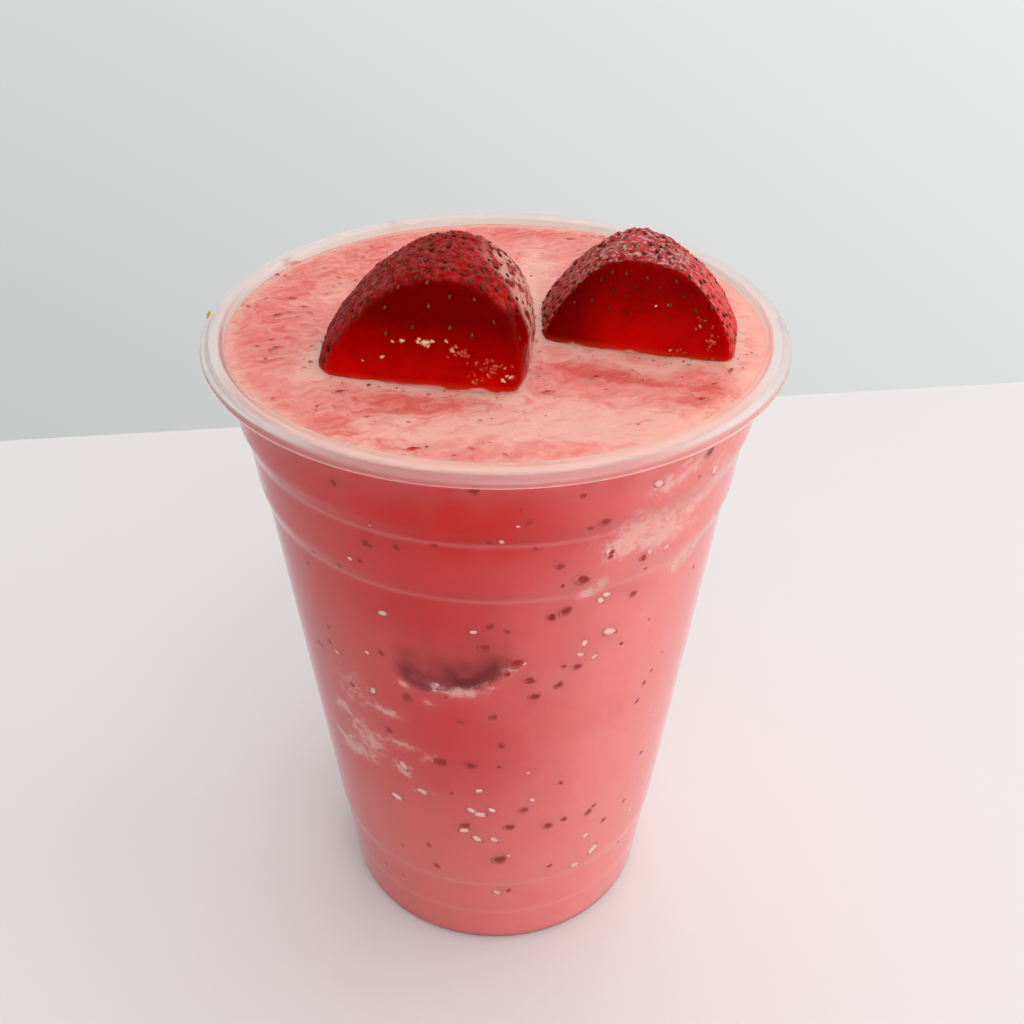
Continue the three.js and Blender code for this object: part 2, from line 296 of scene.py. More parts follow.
class ShakeLook(bpy.types.PropertyGroup):
    """Sizes and colours of the shake."""

    level: FloatProperty(
        name="Level", description="Mean height of the top", default=120.3 * MM, unit="LENGTH",
    )
    into_wall: FloatProperty(
        name="Into wall", description="How far the shake reaches into the cup's wall",
        default=0.3 * MM, unit="LENGTH",
    )
    steps: IntProperty(name="Steps", description="Facets round the shake", default=420, min=48)
    pink: FloatVectorProperty(
        name="Pink", description="Colour of the drink", subtype="COLOR", size=3,
        default=(0.83, 0.285, 0.245), min=0.0, max=1.0,
    )
    # Painted light: this pale colour fills the side where no painted shade lies, as on its lit right.
    pale_wall: FloatVectorProperty(
        name="Pale wall", description="Colour of the side where no painted shade lies, as on its lit right", subtype="COLOR", size=3,
        default=(0.9, 0.3, 0.29), min=0.0, max=1.0,
    )
    # Painted shade: this darker red is painted where the side lies in shade, away from the right-hand lamp.
    in_shade: FloatVectorProperty(
        name="Deep", description="Colour painted where the side lies in shade", subtype="COLOR", size=3,
        default=(0.73, 0.112, 0.118), min=0.0, max=1.0,
    )
    # The reddest patches on the side; the one under the rim is painted shade.
    red: FloatVectorProperty(
        name="Red", description="Colour of the reddest patches on the side, painted shade under the rim", subtype="COLOR", size=3,
        default=(0.68, 0.016, 0.013), min=0.0, max=1.0,
    )
    frost: FloatVectorProperty(
        name="Frost", description="Colour of the smears of frosty foam on the wall", subtype="COLOR", size=3,
        default=(0.88, 0.52, 0.48), min=0.0, max=1.0,
    )
    foam: FloatVectorProperty(
        name="Foam", description="Colour of the pale foam", subtype="COLOR", size=3,
        default=(0.87, 0.44, 0.36), min=0.0, max=1.0,
    )
    pulp: FloatVectorProperty(
        name="Pulp", description="Colour where red pulp gathers", subtype="COLOR", size=3,
        default=(0.68, 0.085, 0.065), min=0.0, max=1.0,
    )
    stain: FloatVectorProperty(
        name="Stain", description="Colour over the sunk berry", subtype="COLOR", size=3,
        default=(0.26, 0.018, 0.024), min=0.0, max=1.0,
    )


class BerryLook(bpy.types.PropertyGroup):
    """Sizes and colours of the berry pieces."""

    pit_spacing: FloatProperty(
        name="Pit spacing", description="Least distance between seeds", default=1.6 * MM, unit="LENGTH",
    )
    pit_depth: FloatProperty(
        name="Pit depth", description="Depth of the pit round each seed", default=0.3 * MM, unit="LENGTH",
    )
    pit_radius: FloatProperty(
        name="Pit radius", description="Radius of the pit round each seed", default=0.5 * MM, unit="LENGTH",
    )
    steps: IntProperty(name="Steps", description="Facets round a berry", default=300, min=48)
    rings: IntProperty(name="Rings", description="Rows from tip to waterline", default=170, min=24)
    flesh: FloatVectorProperty(
        name="Flesh", description="Colour of the wet face", subtype="COLOR", size=3,
        default=(0.18, 0.0007, 0.0004), min=0.0, max=1.0,
    )
    skin: FloatVectorProperty(
        name="Skin", description="Colour of the pitted skin", subtype="COLOR", size=3,
        default=(0.2, 0.004, 0.003), min=0.0, max=1.0,
    )
    seed_gold: FloatVectorProperty(
        name="Pale seeds", description="Colour of the palest seeds", subtype="COLOR", size=3,
        default=(0.5, 0.2, 0.03), min=0.0, max=1.0,
    )
    seed_dark: FloatVectorProperty(
        name="Dark seeds", description="Colour of the darkest seeds", subtype="COLOR", size=3,
        default=(0.045, 0.006, 0.004), min=0.0, max=1.0,
    )


class StageLook(bpy.types.PropertyGroup):
    """Camera and light."""

    camera_place: FloatVectorProperty(
        name="Camera", description="Where the camera stands", subtype="TRANSLATION", size=3, unit="LENGTH",
        default=(2.787 * MM, -185.3 * MM, 210.9 * MM),
    )
    camera_pitch: FloatProperty(
        name="Pitch", description="How far the camera looks down", subtype="ANGLE",
        default=math.radians(34.64),
    )
    camera_roll: FloatProperty(
        name="Roll", description="Turn about the line of sight", subtype="ANGLE",
        default=math.radians(0.4876),
    )
    lens: FloatProperty(
        name="Lens", description="Focal length on a 36 mm sensor", default=43.945, subtype="DISTANCE_CAMERA",
    )
    floor: FloatVectorProperty(
        name="Floor", description="Colour of the floor", subtype="COLOR", size=3,
        default=(0.83, 0.79, 0.79), min=0.0, max=1.0,
    )


# Numbers and meshes

def smooth(value, low, high):
    """0 below low, 1 above high and a smooth step between."""
    share = np.clip((np.asarray(value, float) - low) / (high - low), 0.0, 1.0)
    return share * share * (3.0 - 2.0 * share)


def lumps(points, size, octaves=3, shift=0.0):
    """Smooth noise at each point, about -1 to 1, with lumps of that size."""
    move = Vector((shift, shift * 0.7, -shift))
    flat = np.asarray(points, float).reshape(-1, 3) / size
    values = [noise.fractal(Vector(p) + move, 1.0, 2.0, octaves) for p in flat]
    return np.array(values).reshape(np.shape(points)[:-1])


def wall_radius(height):
    """The wall's outer radius at a height, with sharp rings."""
    height = np.asarray(height, float)
    radius = TAPER_START_RADIUS + TAPER * height
    for low, high, out in RINGS:
        radius = radius + out * np.clip((height - low) / (high - low), 0.0, 1.0)
    return radius


def rounded_wall_radius(height):
    """The wall's outer radius with the rings' bends rounded off."""
    shifts = np.linspace(-RING_ROUND, RING_ROUND, 9)
    return np.mean([wall_radius(np.asarray(height, float) + shift) for shift in shifts], axis=0)


def on_wall(angle, height, depth):
    """Points under the cup's outer face, by degrees from the front, height and depth."""
    turn = np.radians(angle - 90.0)
    radius = rounded_wall_radius(height) - depth
    return np.stack([radius * np.cos(turn), radius * np.sin(turn), height], axis=-1)


def shake_inset(scene):
    """How far the shake's side lies under the cup's outer face, in millimetres."""
    return scene.shake_cup.wall / MM - scene.shake_drink.into_wall / MM


def patches(x, y, spots):
    """How strongly each place lies in a list of soft oval patches."""
    total = np.zeros(np.shape(x))
    for spot_x, spot_y, half_length, half_width, turn, strength in spots:
        angle = math.radians(turn)
        along = (x - spot_x) * math.cos(angle) + (y - spot_y) * math.sin(angle)
        across = (y - spot_y) * math.cos(angle) - (x - spot_x) * math.sin(angle)
        total += strength * np.exp(-((along / half_length) ** 2) - (across / half_width) ** 2)
    return np.clip(total, 0.0, 1.0)


def side_patches(angle, height, spots):
    """The same on the shake's side, by degrees from the front and height."""
    total = np.zeros(np.shape(angle))
    for spot_angle, spot_height, half_angle, half_height, strength in spots:
        turn = (angle - spot_angle + 180.0) % 360.0 - 180.0
        rise = height - spot_height
        total += strength * np.exp(-((turn / half_angle) ** 2) - (rise / half_height) ** 2)
    return np.clip(total, 0.0, 1.0)


def new_object(name, mesh):
    """An object at the origin, linked to the scene."""
    made = bpy.data.objects.new(name, mesh)
    bpy.context.scene.collection.objects.link(made)
    return made


def mesh_of_rings(name, rings, first, last, attributes=None):
    """A closed mesh through rows of points in millimetres, from one pole to the other."""
    rows, steps = rings.shape[:2]
    points = np.concatenate([[first], rings.reshape(-1, 3), [last]]) * MM
    start = 1 + np.arange(rows)[:, None] * steps + np.arange(steps)[None, :]
    following = np.roll(start, -1, axis=1)
    quads = np.stack([start[:-1], start[1:], following[1:], following[:-1]], axis=-1).reshape(-1, 4)
    end = len(points) - 1
    top = [(0, a, b) for a, b in zip(start[0], following[0])]
    bottom = [(end, b, a) for a, b in zip(start[-1], following[-1])]
    mesh = bpy.data.meshes.new(name)
    faces = [tuple(map(int, face)) for face in (*top, *quads, *bottom)]
    mesh.from_pydata(points.tolist(), [], faces)
    for label, values in (attributes or {}).items():
        kind, field = ("FLOAT_VECTOR", "vector") if values.ndim == 3 else ("FLOAT", "value")
        ends = values[0].mean(axis=0).ravel(), values.ravel(), values[-1].mean(axis=0).ravel()
        layer = mesh.attributes.new(label, kind, "POINT")
        layer.data.foreach_set(field, np.concatenate(ends).astype(np.float32))
    mesh.shade_smooth()
    return mesh


def mesh_of_places(name, points, attributes):
    """Loose points in millimetres with values or vectors on each."""
    mesh = bpy.data.meshes.new(name)
    mesh.from_pydata((np.asarray(points, float) * MM).tolist(), [], [])
    for label, values in attributes.items():
        values = np.asarray(values, np.float32)
        kind, field = ("FLOAT_VECTOR", "vector") if values.ndim == 2 else ("FLOAT", "value")
        mesh.attributes.new(label, kind, "POINT").data.foreach_set(field, values.ravel())
    return mesh


def outward(mesh):
    """Points the faces of a closed mesh outwards."""
    work = bmesh.new()
    work.from_mesh(mesh)
    bmesh.ops.recalc_face_normals(work, faces=work.faces)
    work.to_mesh(mesh)
    work.free()


def dress(piece, replaced=None):
    """Rides a piece on the part's body and hides the part node that it stands for."""
    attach(piece, BODY)
    if replaced:
        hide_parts(replaced)
    return piece


def pebble(name, size, steps=8, rows=5, point=0.0, rough=0.0, seed=1):
    """A small uneven rounded solid, pointed at +X; its core value falls from its middle to its edge."""
    draw = np.random.default_rng(seed)
    lift = np.linspace(0.0, math.pi, rows + 2)[1:-1]
    turn = np.arange(steps) * 2.0 * math.pi / steps
    ball = np.stack([
        np.sin(lift)[:, None] * np.cos(turn),
        np.sin(lift)[:, None] * np.sin(turn),
        np.repeat(np.cos(lift)[:, None], steps, axis=1),
    ], axis=-1)
    ball[..., 1] *= 1.0 - point * smooth(ball[..., 0], -0.2, 1.0)
    ball *= 1.0 + rough * draw.uniform(-1.0, 1.0, ball.shape[:2])[..., None]
    half = np.array(size) / 2.0
    pole = np.array([0.0, 0.0, half[2]])
    core = np.repeat(1.0 - np.sin(lift)[:, None], steps, axis=1)
    return mesh_of_rings(name, ball * half, pole, -pole, {"core": core})


# Berry shapes

def berry_points(form, directions):
    """Points of a berry's skin for directions on the unit sphere, and how far each lies on the face."""
    turn = np.arctan2(directions[..., 1], directions[..., 0])
    across = np.hypot(directions[..., 0], directions[..., 1])
    up = directions[..., 2]
    forward = np.maximum(0.0, -np.sin(turn)) ** 2
    side_cone = form.cone + form.cone_lean * np.cos(turn)
    cone = side_cone + (form.cone_front - side_cone) * forward
    half_width = np.where(np.cos(turn) > 0, form.right, form.left)
    half_depth = np.where(np.sin(turn) > 0, form.back, form.front)
    reach = 1.0 / np.hypot(np.cos(turn) / half_width, np.sin(turn) / half_depth)
    radius = reach * across ** cone
    height = np.where(up > 0, form.rise * np.abs(up) ** cone, -form.sunk * np.abs(up) ** 0.7)
    low = 1.0 - np.maximum(0.0, height) / form.rise
    points = np.stack([
        form.tip[0] + form.foot[0] * low + radius * np.cos(turn),
        form.tip[1] + form.foot[1] * low + radius * np.sin(turn),
        WATERLINE + height,
    ], axis=-1)
    face_turn, face_lean = math.radians(form.face_turn), math.radians(form.face_lean)
    normal = np.array([
        math.sin(face_turn) * math.cos(face_lean),
        -math.cos(face_turn) * math.cos(face_lean),
        math.sin(face_lean),
    ])
    ahead = (points - np.array([*form.face_at, WATERLINE])) @ normal
    moved = (ahead + np.hypot(ahead, form.face_round)) / 2.0
    return points - moved[..., None] * normal, smooth(ahead, -0.5 * form.face_round, 0.5 * form.face_round)


def wrapped_flesh(form, turn, points):
    """How far the left piece's wet flesh runs on round its right side, below a slanting border."""
    if form is not BERRIES[0]:
        return np.zeros(np.shape(turn))
    aside = (np.degrees(turn) + 270.0) % 360.0 - 180.0
    border = WATERLINE + 12.5 - 0.118 * (aside - 28.0)
    round_side = smooth(aside, 12.0, 28.0) * (1.0 - smooth(aside, 82.0, 100.0))
    return round_side * (1.0 - smooth(points[..., 2] - border, -0.9, 0.9))


def directions_of(turn, lift):
    """Unit vectors from turns about Z and lifts above the waterline, in radians."""
    return np.stack([np.cos(turn) * np.cos(lift), np.sin(turn) * np.cos(lift), np.sin(lift)], axis=-1)


def pit_places(form, spacing):
    """Evenly spaced places for seeds: point, outward normal, direction to the tip and share on the face."""
    draw = np.random.default_rng(form.seed)
    turn = draw.uniform(0.0, 2.0 * math.pi, SEED_TRIES)
    lift = np.arcsin(draw.uniform(0.0, 1.0, SEED_TRIES))
    points, on_face = berry_points(form, directions_of(turn, lift))
    on_face = np.maximum(on_face, wrapped_flesh(form, turn, points))
    apart = spacing * (1.0 + (form.face_spacing - 1.0) * on_face)
    kept = []
    for i in np.flatnonzero(points[:, 2] > WATERLINE + 1.0 + form.bare_below * on_face):
        if not kept or np.min(np.sum((points[i] - points[kept]) ** 2, axis=1)) > apart[i] ** 2:
            kept.append(i)
    step = 0.004
    along = berry_points(form, directions_of(turn[kept], lift[kept] + step))[0] - points[kept]
    side = berry_points(form, directions_of(turn[kept] + step, lift[kept]))[0] - points[kept]
    up = np.cross(side, along)
    up /= np.linalg.norm(up, axis=1)[:, None]
    along /= np.linalg.norm(along, axis=1)[:, None]
    return points[kept], up, along, on_face[kept]


def grid_normals(rings):
    """Outward normals of rows of points that run from a top pole down."""
    round_way = np.roll(rings, -1, axis=1) - np.roll(rings, 1, axis=1)
    down_way = np.gradient(rings, axis=0)
    normals = np.cross(down_way, round_way)
    return normals / np.maximum(np.linalg.norm(normals, axis=-1), 1e-12)[..., None]


def nearest(points, places):
    """The distance from each point to the nearest place."""
    flat = points.reshape(-1, points.shape[-1])
    best = np.full(len(flat), 1e9)
    for place in places:
        best = np.minimum(best, np.sum((flat - place) ** 2, axis=1))
    return np.sqrt(best).reshape(points.shape[:-1])


def berry_outline(form):
    """Points along a berry's waterline."""
    turn = np.linspace(0.0, 2.0 * math.pi, OUTLINE_STEPS, endpoint=False)
    return berry_points(form, directions_of(turn, np.zeros_like(turn)))[0][:, :2]


# The shake

def sunk_edge(angle):
    """Height of the sunk berry's lower edge at an angle from the front, and how far that is on it."""
    places, heights = np.array(SUNK_EDGE).T
    first, last = places[0], places[-1]
    ends = smooth(angle, first - 3.0, first + 4.0) * (1.0 - smooth(angle, last - 5.0, last + 3.0))
    return np.interp(angle, places, heights), ends


def side_shade_shares(angle, height, sway):
    """How much painted shade and how much red the side has, by degrees from the front and height."""
    red = side_patches(angle, height + sway, SIDE_RED)
    # Painted light: the side is paler towards the right, where the window lamp falls; the rest is the painted
    # shade.
    lit_right = smooth(angle + 3.0 * sway, -12.0, 46.0) * (1.0 - 0.6 * smooth(angle, 80.0, 130.0))
    paler_left = 0.5 * smooth(-angle, 90.0, 130.0)
    paler_low = 0.45 * (1.0 - smooth(height + sway, 22.0, 56.0))
    in_shade = (1.0 - np.maximum(lit_right, paler_left)) * (1.0 - paler_low)
    return in_shade, red


def side_sway(side):
    """How far the side's colours are pushed up or down at each point, in millimetres."""
    return 3.0 * lumps(side, 8.0, 3, 9.0)


def shake_top(x, y):
    """Height of the shake's top above its mean level and distance to a berry, in millimetres."""
    points = np.stack([x, y, np.zeros_like(x)], axis=-1)
    swell = 0.28 * np.sin(x / 9.0 + 0.6) * np.cos(y / 9.0 - 0.6) + 0.16 * np.sin((x + 2.0 * y) / 6.5)
    edge = float(wall_radius(WATERLINE)) - 0.9
    dip = 0.5 * np.clip(1.0 - (edge - np.hypot(x, y)) / 6.0, 0.0, 1.0) ** 2
    foam_lumps = 0.22 * lumps(points, 4.0, 3) + 0.07 * lumps(points, 1.1, 2, 5.0)
    heap = 1.2 * patches(x, y, ((6.2, 0.0, 2.6, 6.0, 0.0, 1.0),))
    shore = np.min([nearest(points[..., :2], berry_outline(form)) for form in BERRIES], axis=0)
    cling = 0.2 * np.exp(-shore / 0.7)
    calm = smooth(edge - np.hypot(x, y), -0.5, 3.0)
    return (swell + foam_lumps) * calm - dip + heap + cling, shore


# Node helpers

def put(tree, kind, inputs=None, **settings):
    """Adds a node, sets its options, and sets or links its inputs by name or number."""
    made = tree.nodes.new(kind)
    for name, value in settings.items():
        setattr(made, name, value)
    for name, value in (inputs or {}).items():
        if isinstance(value, bpy.types.NodeSocket):
            tree.links.new(value, made.inputs[name])
        else:
            made.inputs[name].default_value = value
    return made


def math_node(tree, operation, first, second=0.0):
    """The result of a sum on one or two values."""
    return put(tree, "ShaderNodeMath", {0: first, 1: second}, operation=operation).outputs[0]


def blend(tree, share, first, second):
    """A mix of two colours by a share."""
    made = put(tree, "ShaderNodeMix", {0: share, 6: first, 7: second}, data_type="RGBA")
    return made.outputs[2]


def span(tree, value, low, high, out_low=0.0, out_high=1.0):
    """Moves a value from one range to another, clamped."""
    made = put(tree, "ShaderNodeMapRange", {0: value, 1: low, 2: high, 3: out_low, 4: out_high})
    return made.outputs[0]


def painted(tree, name):
    """A value that is stored on the mesh."""
    return put(tree, "ShaderNodeAttribute", attribute_name=name).outputs["Fac"]


def opaque(colour):
    """A colour with full alpha."""
    return (*colour, 1.0)


def new_material(name):
    """A material with an empty tree and its output node."""
    made = bpy.data.materials.new(name)
    made.use_nodes = True
    made.node_tree.nodes.clear()
    return made, made.node_tree, put(made.node_tree, "ShaderNodeOutputMaterial")


def grain_group():
    """Fine uneven grain on the object's own coordinates: a value and a height, at a size in metres."""
    known = bpy.data.node_groups.get("Fine grain")
    if known:
        return known
    tree = bpy.data.node_groups.new("Fine grain", "ShaderNodeTree")
    size = tree.interface.new_socket("Size", in_out="INPUT", socket_type="NodeSocketFloat")
    size.default_value = 0.002
    detail = tree.interface.new_socket("Detail", in_out="INPUT", socket_type="NodeSocketFloat")
    detail.default_value = 3.0
    for name in ("Low", "High"):
        tree.interface.new_socket(name, in_out="INPUT", socket_type="NodeSocketFloat")
    tree.interface.new_socket("Mask", in_out="OUTPUT", socket_type="NodeSocketFloat")
    tree.interface.new_socket("Height", in_out="OUTPUT", socket_type="NodeSocketFloat")
    given = put(tree, "NodeGroupInput")
    place = put(tree, "ShaderNodeTexCoord").outputs["Object"]
    scale = math_node(tree, "DIVIDE", 1.0, given.outputs["Size"])
    cloud = put(tree, "ShaderNodeTexNoise", {
        "Vector": place, "Scale": scale, "Detail": given.outputs["Detail"], "Roughness": 0.6,
    }).outputs["Fac"]
    mask = put(tree, "ShaderNodeMapRange", {
        0: cloud, 1: given.outputs["Low"], 2: given.outputs["High"], 3: 0.0, 4: 1.0,
    }, interpolation_type="SMOOTHSTEP").outputs[0]
    put(tree, "NodeGroupOutput", {"Mask": mask, "Height": cloud})
    return tree


def grain(tree, size, low=0.4, high=0.6, detail=3.0):
    """Places the grain group in a material; gives its mask and height."""
    made = put(tree, "ShaderNodeGroup", node_tree=grain_group())
    for name, value in (("Size", size), ("Detail", detail), ("Low", low), ("High", high)):
        made.inputs[name].default_value = value
    return made.outputs["Mask"], made.outputs["Height"]


def bump(tree, height, strength, distance, normal=None):
    """A bump of that distance in metres."""
    inputs = {"Height": height, "Strength": strength, "Distance": distance}
    if normal is not None:
        inputs["Normal"] = normal
    return put(tree, "ShaderNodeBump", inputs).outputs[0]


# Materials

def clear_plastic(name, tint, clear, rough, wavy):
    """Moulded plastic, clear or milky, that lets lamps through to the drink behind it."""
    material, tree, output = new_material(name)
    haze, _ = grain(tree, 0.006, 0.35, 0.75)
    _, waves = grain(tree, 0.011, detail=1.0)
    shell = put(tree, "ShaderNodeBsdfPrincipled", {
        "Base Color": opaque(tint),
        "Roughness": span(tree, haze, 0.0, 1.0, rough, rough + 0.07),
        "IOR": 1.28,
        "Transmission Weight": clear,
        "Normal": bump(tree, waves, wavy, 0.0005),
    })
    through = put(tree, "ShaderNodeBsdfTransparent", {"Color": (0.96, 0.95, 0.95, 1.0)})
    lamps = put(tree, "ShaderNodeLightPath").outputs["Is Shadow Ray"]
    both = put(tree, "ShaderNodeMixShader", {0: lamps, 1: shell.outputs[0], 2: through.outputs[0]})
    tree.links.new(both.outputs[0], output.inputs[0])
    return material


def shake_finish(look):
    """Thick pink drink: pale foam, red pulp, frosty streaks and the dim stain of what is sunk in it, with
    painted light and shade on its side and painted highlights under the wall's rings.
    """
    material, tree, output = new_material("shake")
    mottle, _ = grain(tree, 0.007, 0.36, 0.66, 4.0)
    froth, froth_height = grain(tree, 0.0009, 0.3, 0.7, 2.0)
    flow = put(tree, "ShaderNodeAttribute", attribute_name="flow").outputs["Vector"]
    threads = put(tree, "ShaderNodeTexNoise", {
        "Vector": flow, "Scale": 520.0, "Detail": 5.0, "Roughness": 0.62, "Distortion": 0.5,
    }).outputs["Fac"]
    speckle, _ = grain(tree, 0.0016, 0.48, 0.66, 3.0)
    pink = blend(tree, math_node(tree, "MULTIPLY", mottle, 0.22), opaque(look.pink), opaque(look.pulp))
    pink = blend(tree, math_node(tree, "MULTIPLY", speckle, 0.24), pink, opaque(look.pulp))
    on_side = painted(tree, "side")
    on_top = math_node(tree, "SUBTRACT", 1.0, on_side)
    # Painted light and shade on the side: pale where it is lit, darker red in shade, reddest under the rim.
    pink = blend(tree, math_node(tree, "MULTIPLY", on_side, 0.85), pink, opaque(look.pale_wall))
    pink = blend(tree, math_node(tree, "MULTIPLY", painted(tree, "in_shade"), 0.92), pink, opaque(look.in_shade))
    pink = blend(tree, painted(tree, "red"), pink, opaque(look.red))
    stained = blend(tree, painted(tree, "stain"), pink, opaque(look.stain))
    foam = threshold(tree, painted(tree, "foam"), threads, 2.4, 0.8)
    foamy = blend(tree, math_node(tree, "MULTIPLY", foam, on_top), stained, opaque(look.foam))
    streaks = put(tree, "ShaderNodeTexNoise", {
        "Vector": flow, "Scale": 430.0, "Detail": 6.0, "Roughness": 0.66, "Distortion": 0.8,
    }).outputs["Fac"]
    pulp = threshold(tree, painted(tree, "pulp"), streaks, 3.0, 0.7)
    pulp_share = math_node(tree, "MULTIPLY", pulp, math_node(tree, "MULTIPLY", on_top, 0.78))
    pulpy = blend(tree, pulp_share, foamy, opaque(look.pulp))
    strands = put(tree, "ShaderNodeTexNoise", {
        "Vector": flow, "Scale": 640.0, "Detail": 3.0, "Roughness": 0.55, "Distortion": 0.6,
    }).outputs["Fac"]
    fibres = math_node(tree, "MULTIPLY", painted(tree, "fibre"), span(tree, strands, 0.55, 0.68, 0.0, 0.7))
    pulpy = blend(tree, fibres, pulpy, opaque(look.pulp))
    crumbs = put(tree, "ShaderNodeTexNoise", {
        "Vector": flow, "Scale": 560.0, "Detail": 6.0, "Roughness": 0.7, "Distortion": 0.3,
    }).outputs["Fac"]
    frost = threshold(tree, painted(tree, "pale"), crumbs, 3.8, 0.75)
    haze = math_node(tree, "MULTIPLY", painted(tree, "pale"), 0.25)
    share = math_node(tree, "MAXIMUM", math_node(tree, "MULTIPLY", frost, painted(tree, "frosty")), haze)
    frosted = blend(tree, math_node(tree, "MULTIPLY", share, 0.85), pulpy, opaque(look.frost))
    # Painted highlight: a thin pale line under each ring of the wall.
    frosted = blend(tree, ring_highlights(tree), frosted, opaque(look.frost))
    lit_froth = math_node(tree, "MULTIPLY", froth, math_node(tree, "MULTIPLY", painted(tree, "foam"), 0.25))
    colour = blend(tree, lit_froth, frosted, opaque(look.foam))
    body = put(tree, "ShaderNodeBsdfPrincipled", {
        "Base Color": colour,
        "Roughness": span(tree, froth, 0.0, 1.0, 0.32, 0.5),
        "IOR": 1.36,
        "Specular IOR Level": 0.2,
        "Subsurface Weight": 1.0,
        "Subsurface Radius": (1.0, 0.3, 0.22),
        "Subsurface Scale": 0.0028,
        "Normal": bump(tree, math_node(tree, "MULTIPLY", froth_height, on_top), 0.5, 0.0003),
    })
    tree.links.new(body.outputs[0], output.inputs[0])
    return material


def ring_highlights(tree):
    """Thin pale lines under each ring of the wall: painted highlights where the ring's bend catches the
    light.
    """
    place = put(tree, "ShaderNodeSeparateXYZ", {0: put(tree, "ShaderNodeTexCoord").outputs["Object"]})
    lines = 0.0
    for low, _, out in RINGS[:-1]:
        away = math_node(tree, "SUBTRACT", place.outputs["Z"], (low + 0.35) * MM)
        near = span(tree, math_node(tree, "ABSOLUTE", away), 0.0, RING_HIGHLIGHT_HALF * MM, 0.15 + 0.12 * out, 0.0)
        lines = math_node(tree, "ADD", near, lines)
    return lines


def threshold(tree, share, pattern, contrast, spread):
    """A crisp-edged mask: more of the pattern is kept the higher the share."""
    lifted = math_node(tree, "MULTIPLY", math_node(tree, "SUBTRACT", pattern, 0.5), contrast)
    total = math_node(tree, "ADD", share, lifted)
    return span(tree, total, 0.5 - spread / 2.0, 0.5 + spread / 2.0)


def berry_finish(look, form):
    """Wet red berry: smooth clear flesh on the face, dull pitted skin above it, with painted light and shade
    in its colours.
    """
    material, tree, output = new_material(form.node)
    # Painted light: each piece's flesh and skin colours are scaled by how lit that piece is.
    fresh = opaque(Vector(look.flesh) * form.flesh_painted_light)
    peel = Vector(look.skin) * form.skin_painted_light
    face = painted(tree, "face")
    pit = painted(tree, "pit")
    blush, _ = grain(tree, 0.006, 0.35, 0.7)
    fibre, fibre_height = grain(tree, 0.0007, 0.4, 0.7, 2.0)
    height = put(tree, "ShaderNodeSeparateXYZ", {0: put(tree, "ShaderNodeTexCoord").outputs["Object"]})
    lit_from_below = span(tree, height.outputs["Z"], 0.1205, 0.1305, 1.0, 0.0)
    flesh = blend(tree, lit_from_below, fresh, (0.66, 0.0014, 0.0007, 1.0))
    flesh = blend(tree, math_node(tree, "MULTIPLY", blush, 0.3), flesh, (0.14, 0.0006, 0.0004, 1.0))
    # Painted shade: the flesh is darker on one side of each piece.
    flesh = blend(tree, painted(tree, "dim"), flesh, (0.1, 0.0005, 0.0003, 1.0))
    thin = span(tree, height.outputs["Z"], 0.1206, 0.1215, 0.45, 0.0)
    flesh = blend(tree, thin, flesh, (0.6, 0.05, 0.012, 1.0))
    skin = blend(tree, math_node(tree, "MULTIPLY", blush, 0.5), opaque(peel), opaque(peel * 1.8))
    # Painted light: the right piece's skin is brighter on its right, towards the window lamp.
    skin = blend(tree, painted(tree, "window_lit"), skin, opaque(peel * 2.2))
    # Painted shade: the skin is darker in its pits.
    skin = blend(tree, math_node(tree, "MULTIPLY", pit, 0.7), skin, (0.04, 0.0015, 0.001, 1.0))
    # Painted highlight: pale specks on the top skin stand in for wet glints.
    sparkle = math_node(tree, "MULTIPLY", grain(tree, 0.0009, 0.5, 0.62, 2.0)[0], form.painted_sparkle)
    sparkle = math_node(tree, "MULTIPLY", sparkle, span(tree, height.outputs["Z"], 0.1275, 0.1335))
    skin = blend(tree, sparkle, skin, (0.55, 0.3, 0.27, 1.0))
    colour = blend(tree, face, skin, flesh)
    colour = blend(tree, painted(tree, "foamed"), colour, (0.74, 0.38, 0.32, 1.0))
    rough = span(tree, face, 0.0, 1.0, 0.28, 0.08)
    wavy = bump(tree, grain(tree, 0.0022, detail=1.0)[1], 0.5, 0.0004)
    surface = put(tree, "ShaderNodeBsdfPrincipled", {
        "Base Color": colour,
        "Roughness": math_node(tree, "ADD", rough, math_node(tree, "MULTIPLY", fibre, 0.06)),
        "IOR": 1.38,
        "Specular IOR Level": form.shine,
        "Specular Tint": (1.0, 0.14, 0.11, 1.0),
        "Coat Weight": span(tree, face, 0.0, 1.0, form.gloss, 0.0) if form.gloss else 0.0,
        "Coat Roughness": 0.22,
        "Subsurface Weight": 0.3,
        "Subsurface Radius": (1.0, 0.06, 0.04),
        "Subsurface Scale": 0.003,
        "Normal": bump(tree, fibre_height, 0.4, 0.00025, wavy),
    })
    tree.links.new(surface.outputs[0], output.inputs[0])
    return material


def bit_finish(name, pale, dark, rough, ground=None, clear=0.0):
    """Small bits whose tone runs from dark to pale; their edges may take the colour of the ground."""
    material, tree, output = new_material(name)
    mask, height = grain(tree, 0.0004, 0.35, 0.65, 2.0)
    tone = blend(tree, painted(tree, "tone"), opaque(dark), opaque(pale))
    colour = blend(tree, math_node(tree, "MULTIPLY", mask, 0.3), tone, opaque(dark))
    if ground == "painted":
        ground = put(tree, "ShaderNodeAttribute", attribute_name="ground").outputs["Color"]
    if ground:
        colour = blend(tree, span(tree, painted(tree, "core"), 0.03, 0.5), ground, colour)
    surface = put(tree, "ShaderNodeBsdfPrincipled", {
        "Base Color": colour,
        "Roughness": span(tree, mask, 0.0, 1.0, rough, rough + 0.15),
        "Specular IOR Level": 0.15,
        "Subsurface Weight": clear,
        "Subsurface Scale": 0.001,
        "Normal": bump(tree, height, 0.2, 0.0001),
    })
    tree.links.new(surface.outputs[0], output.inputs[0])
    return material


# Geometry node trees

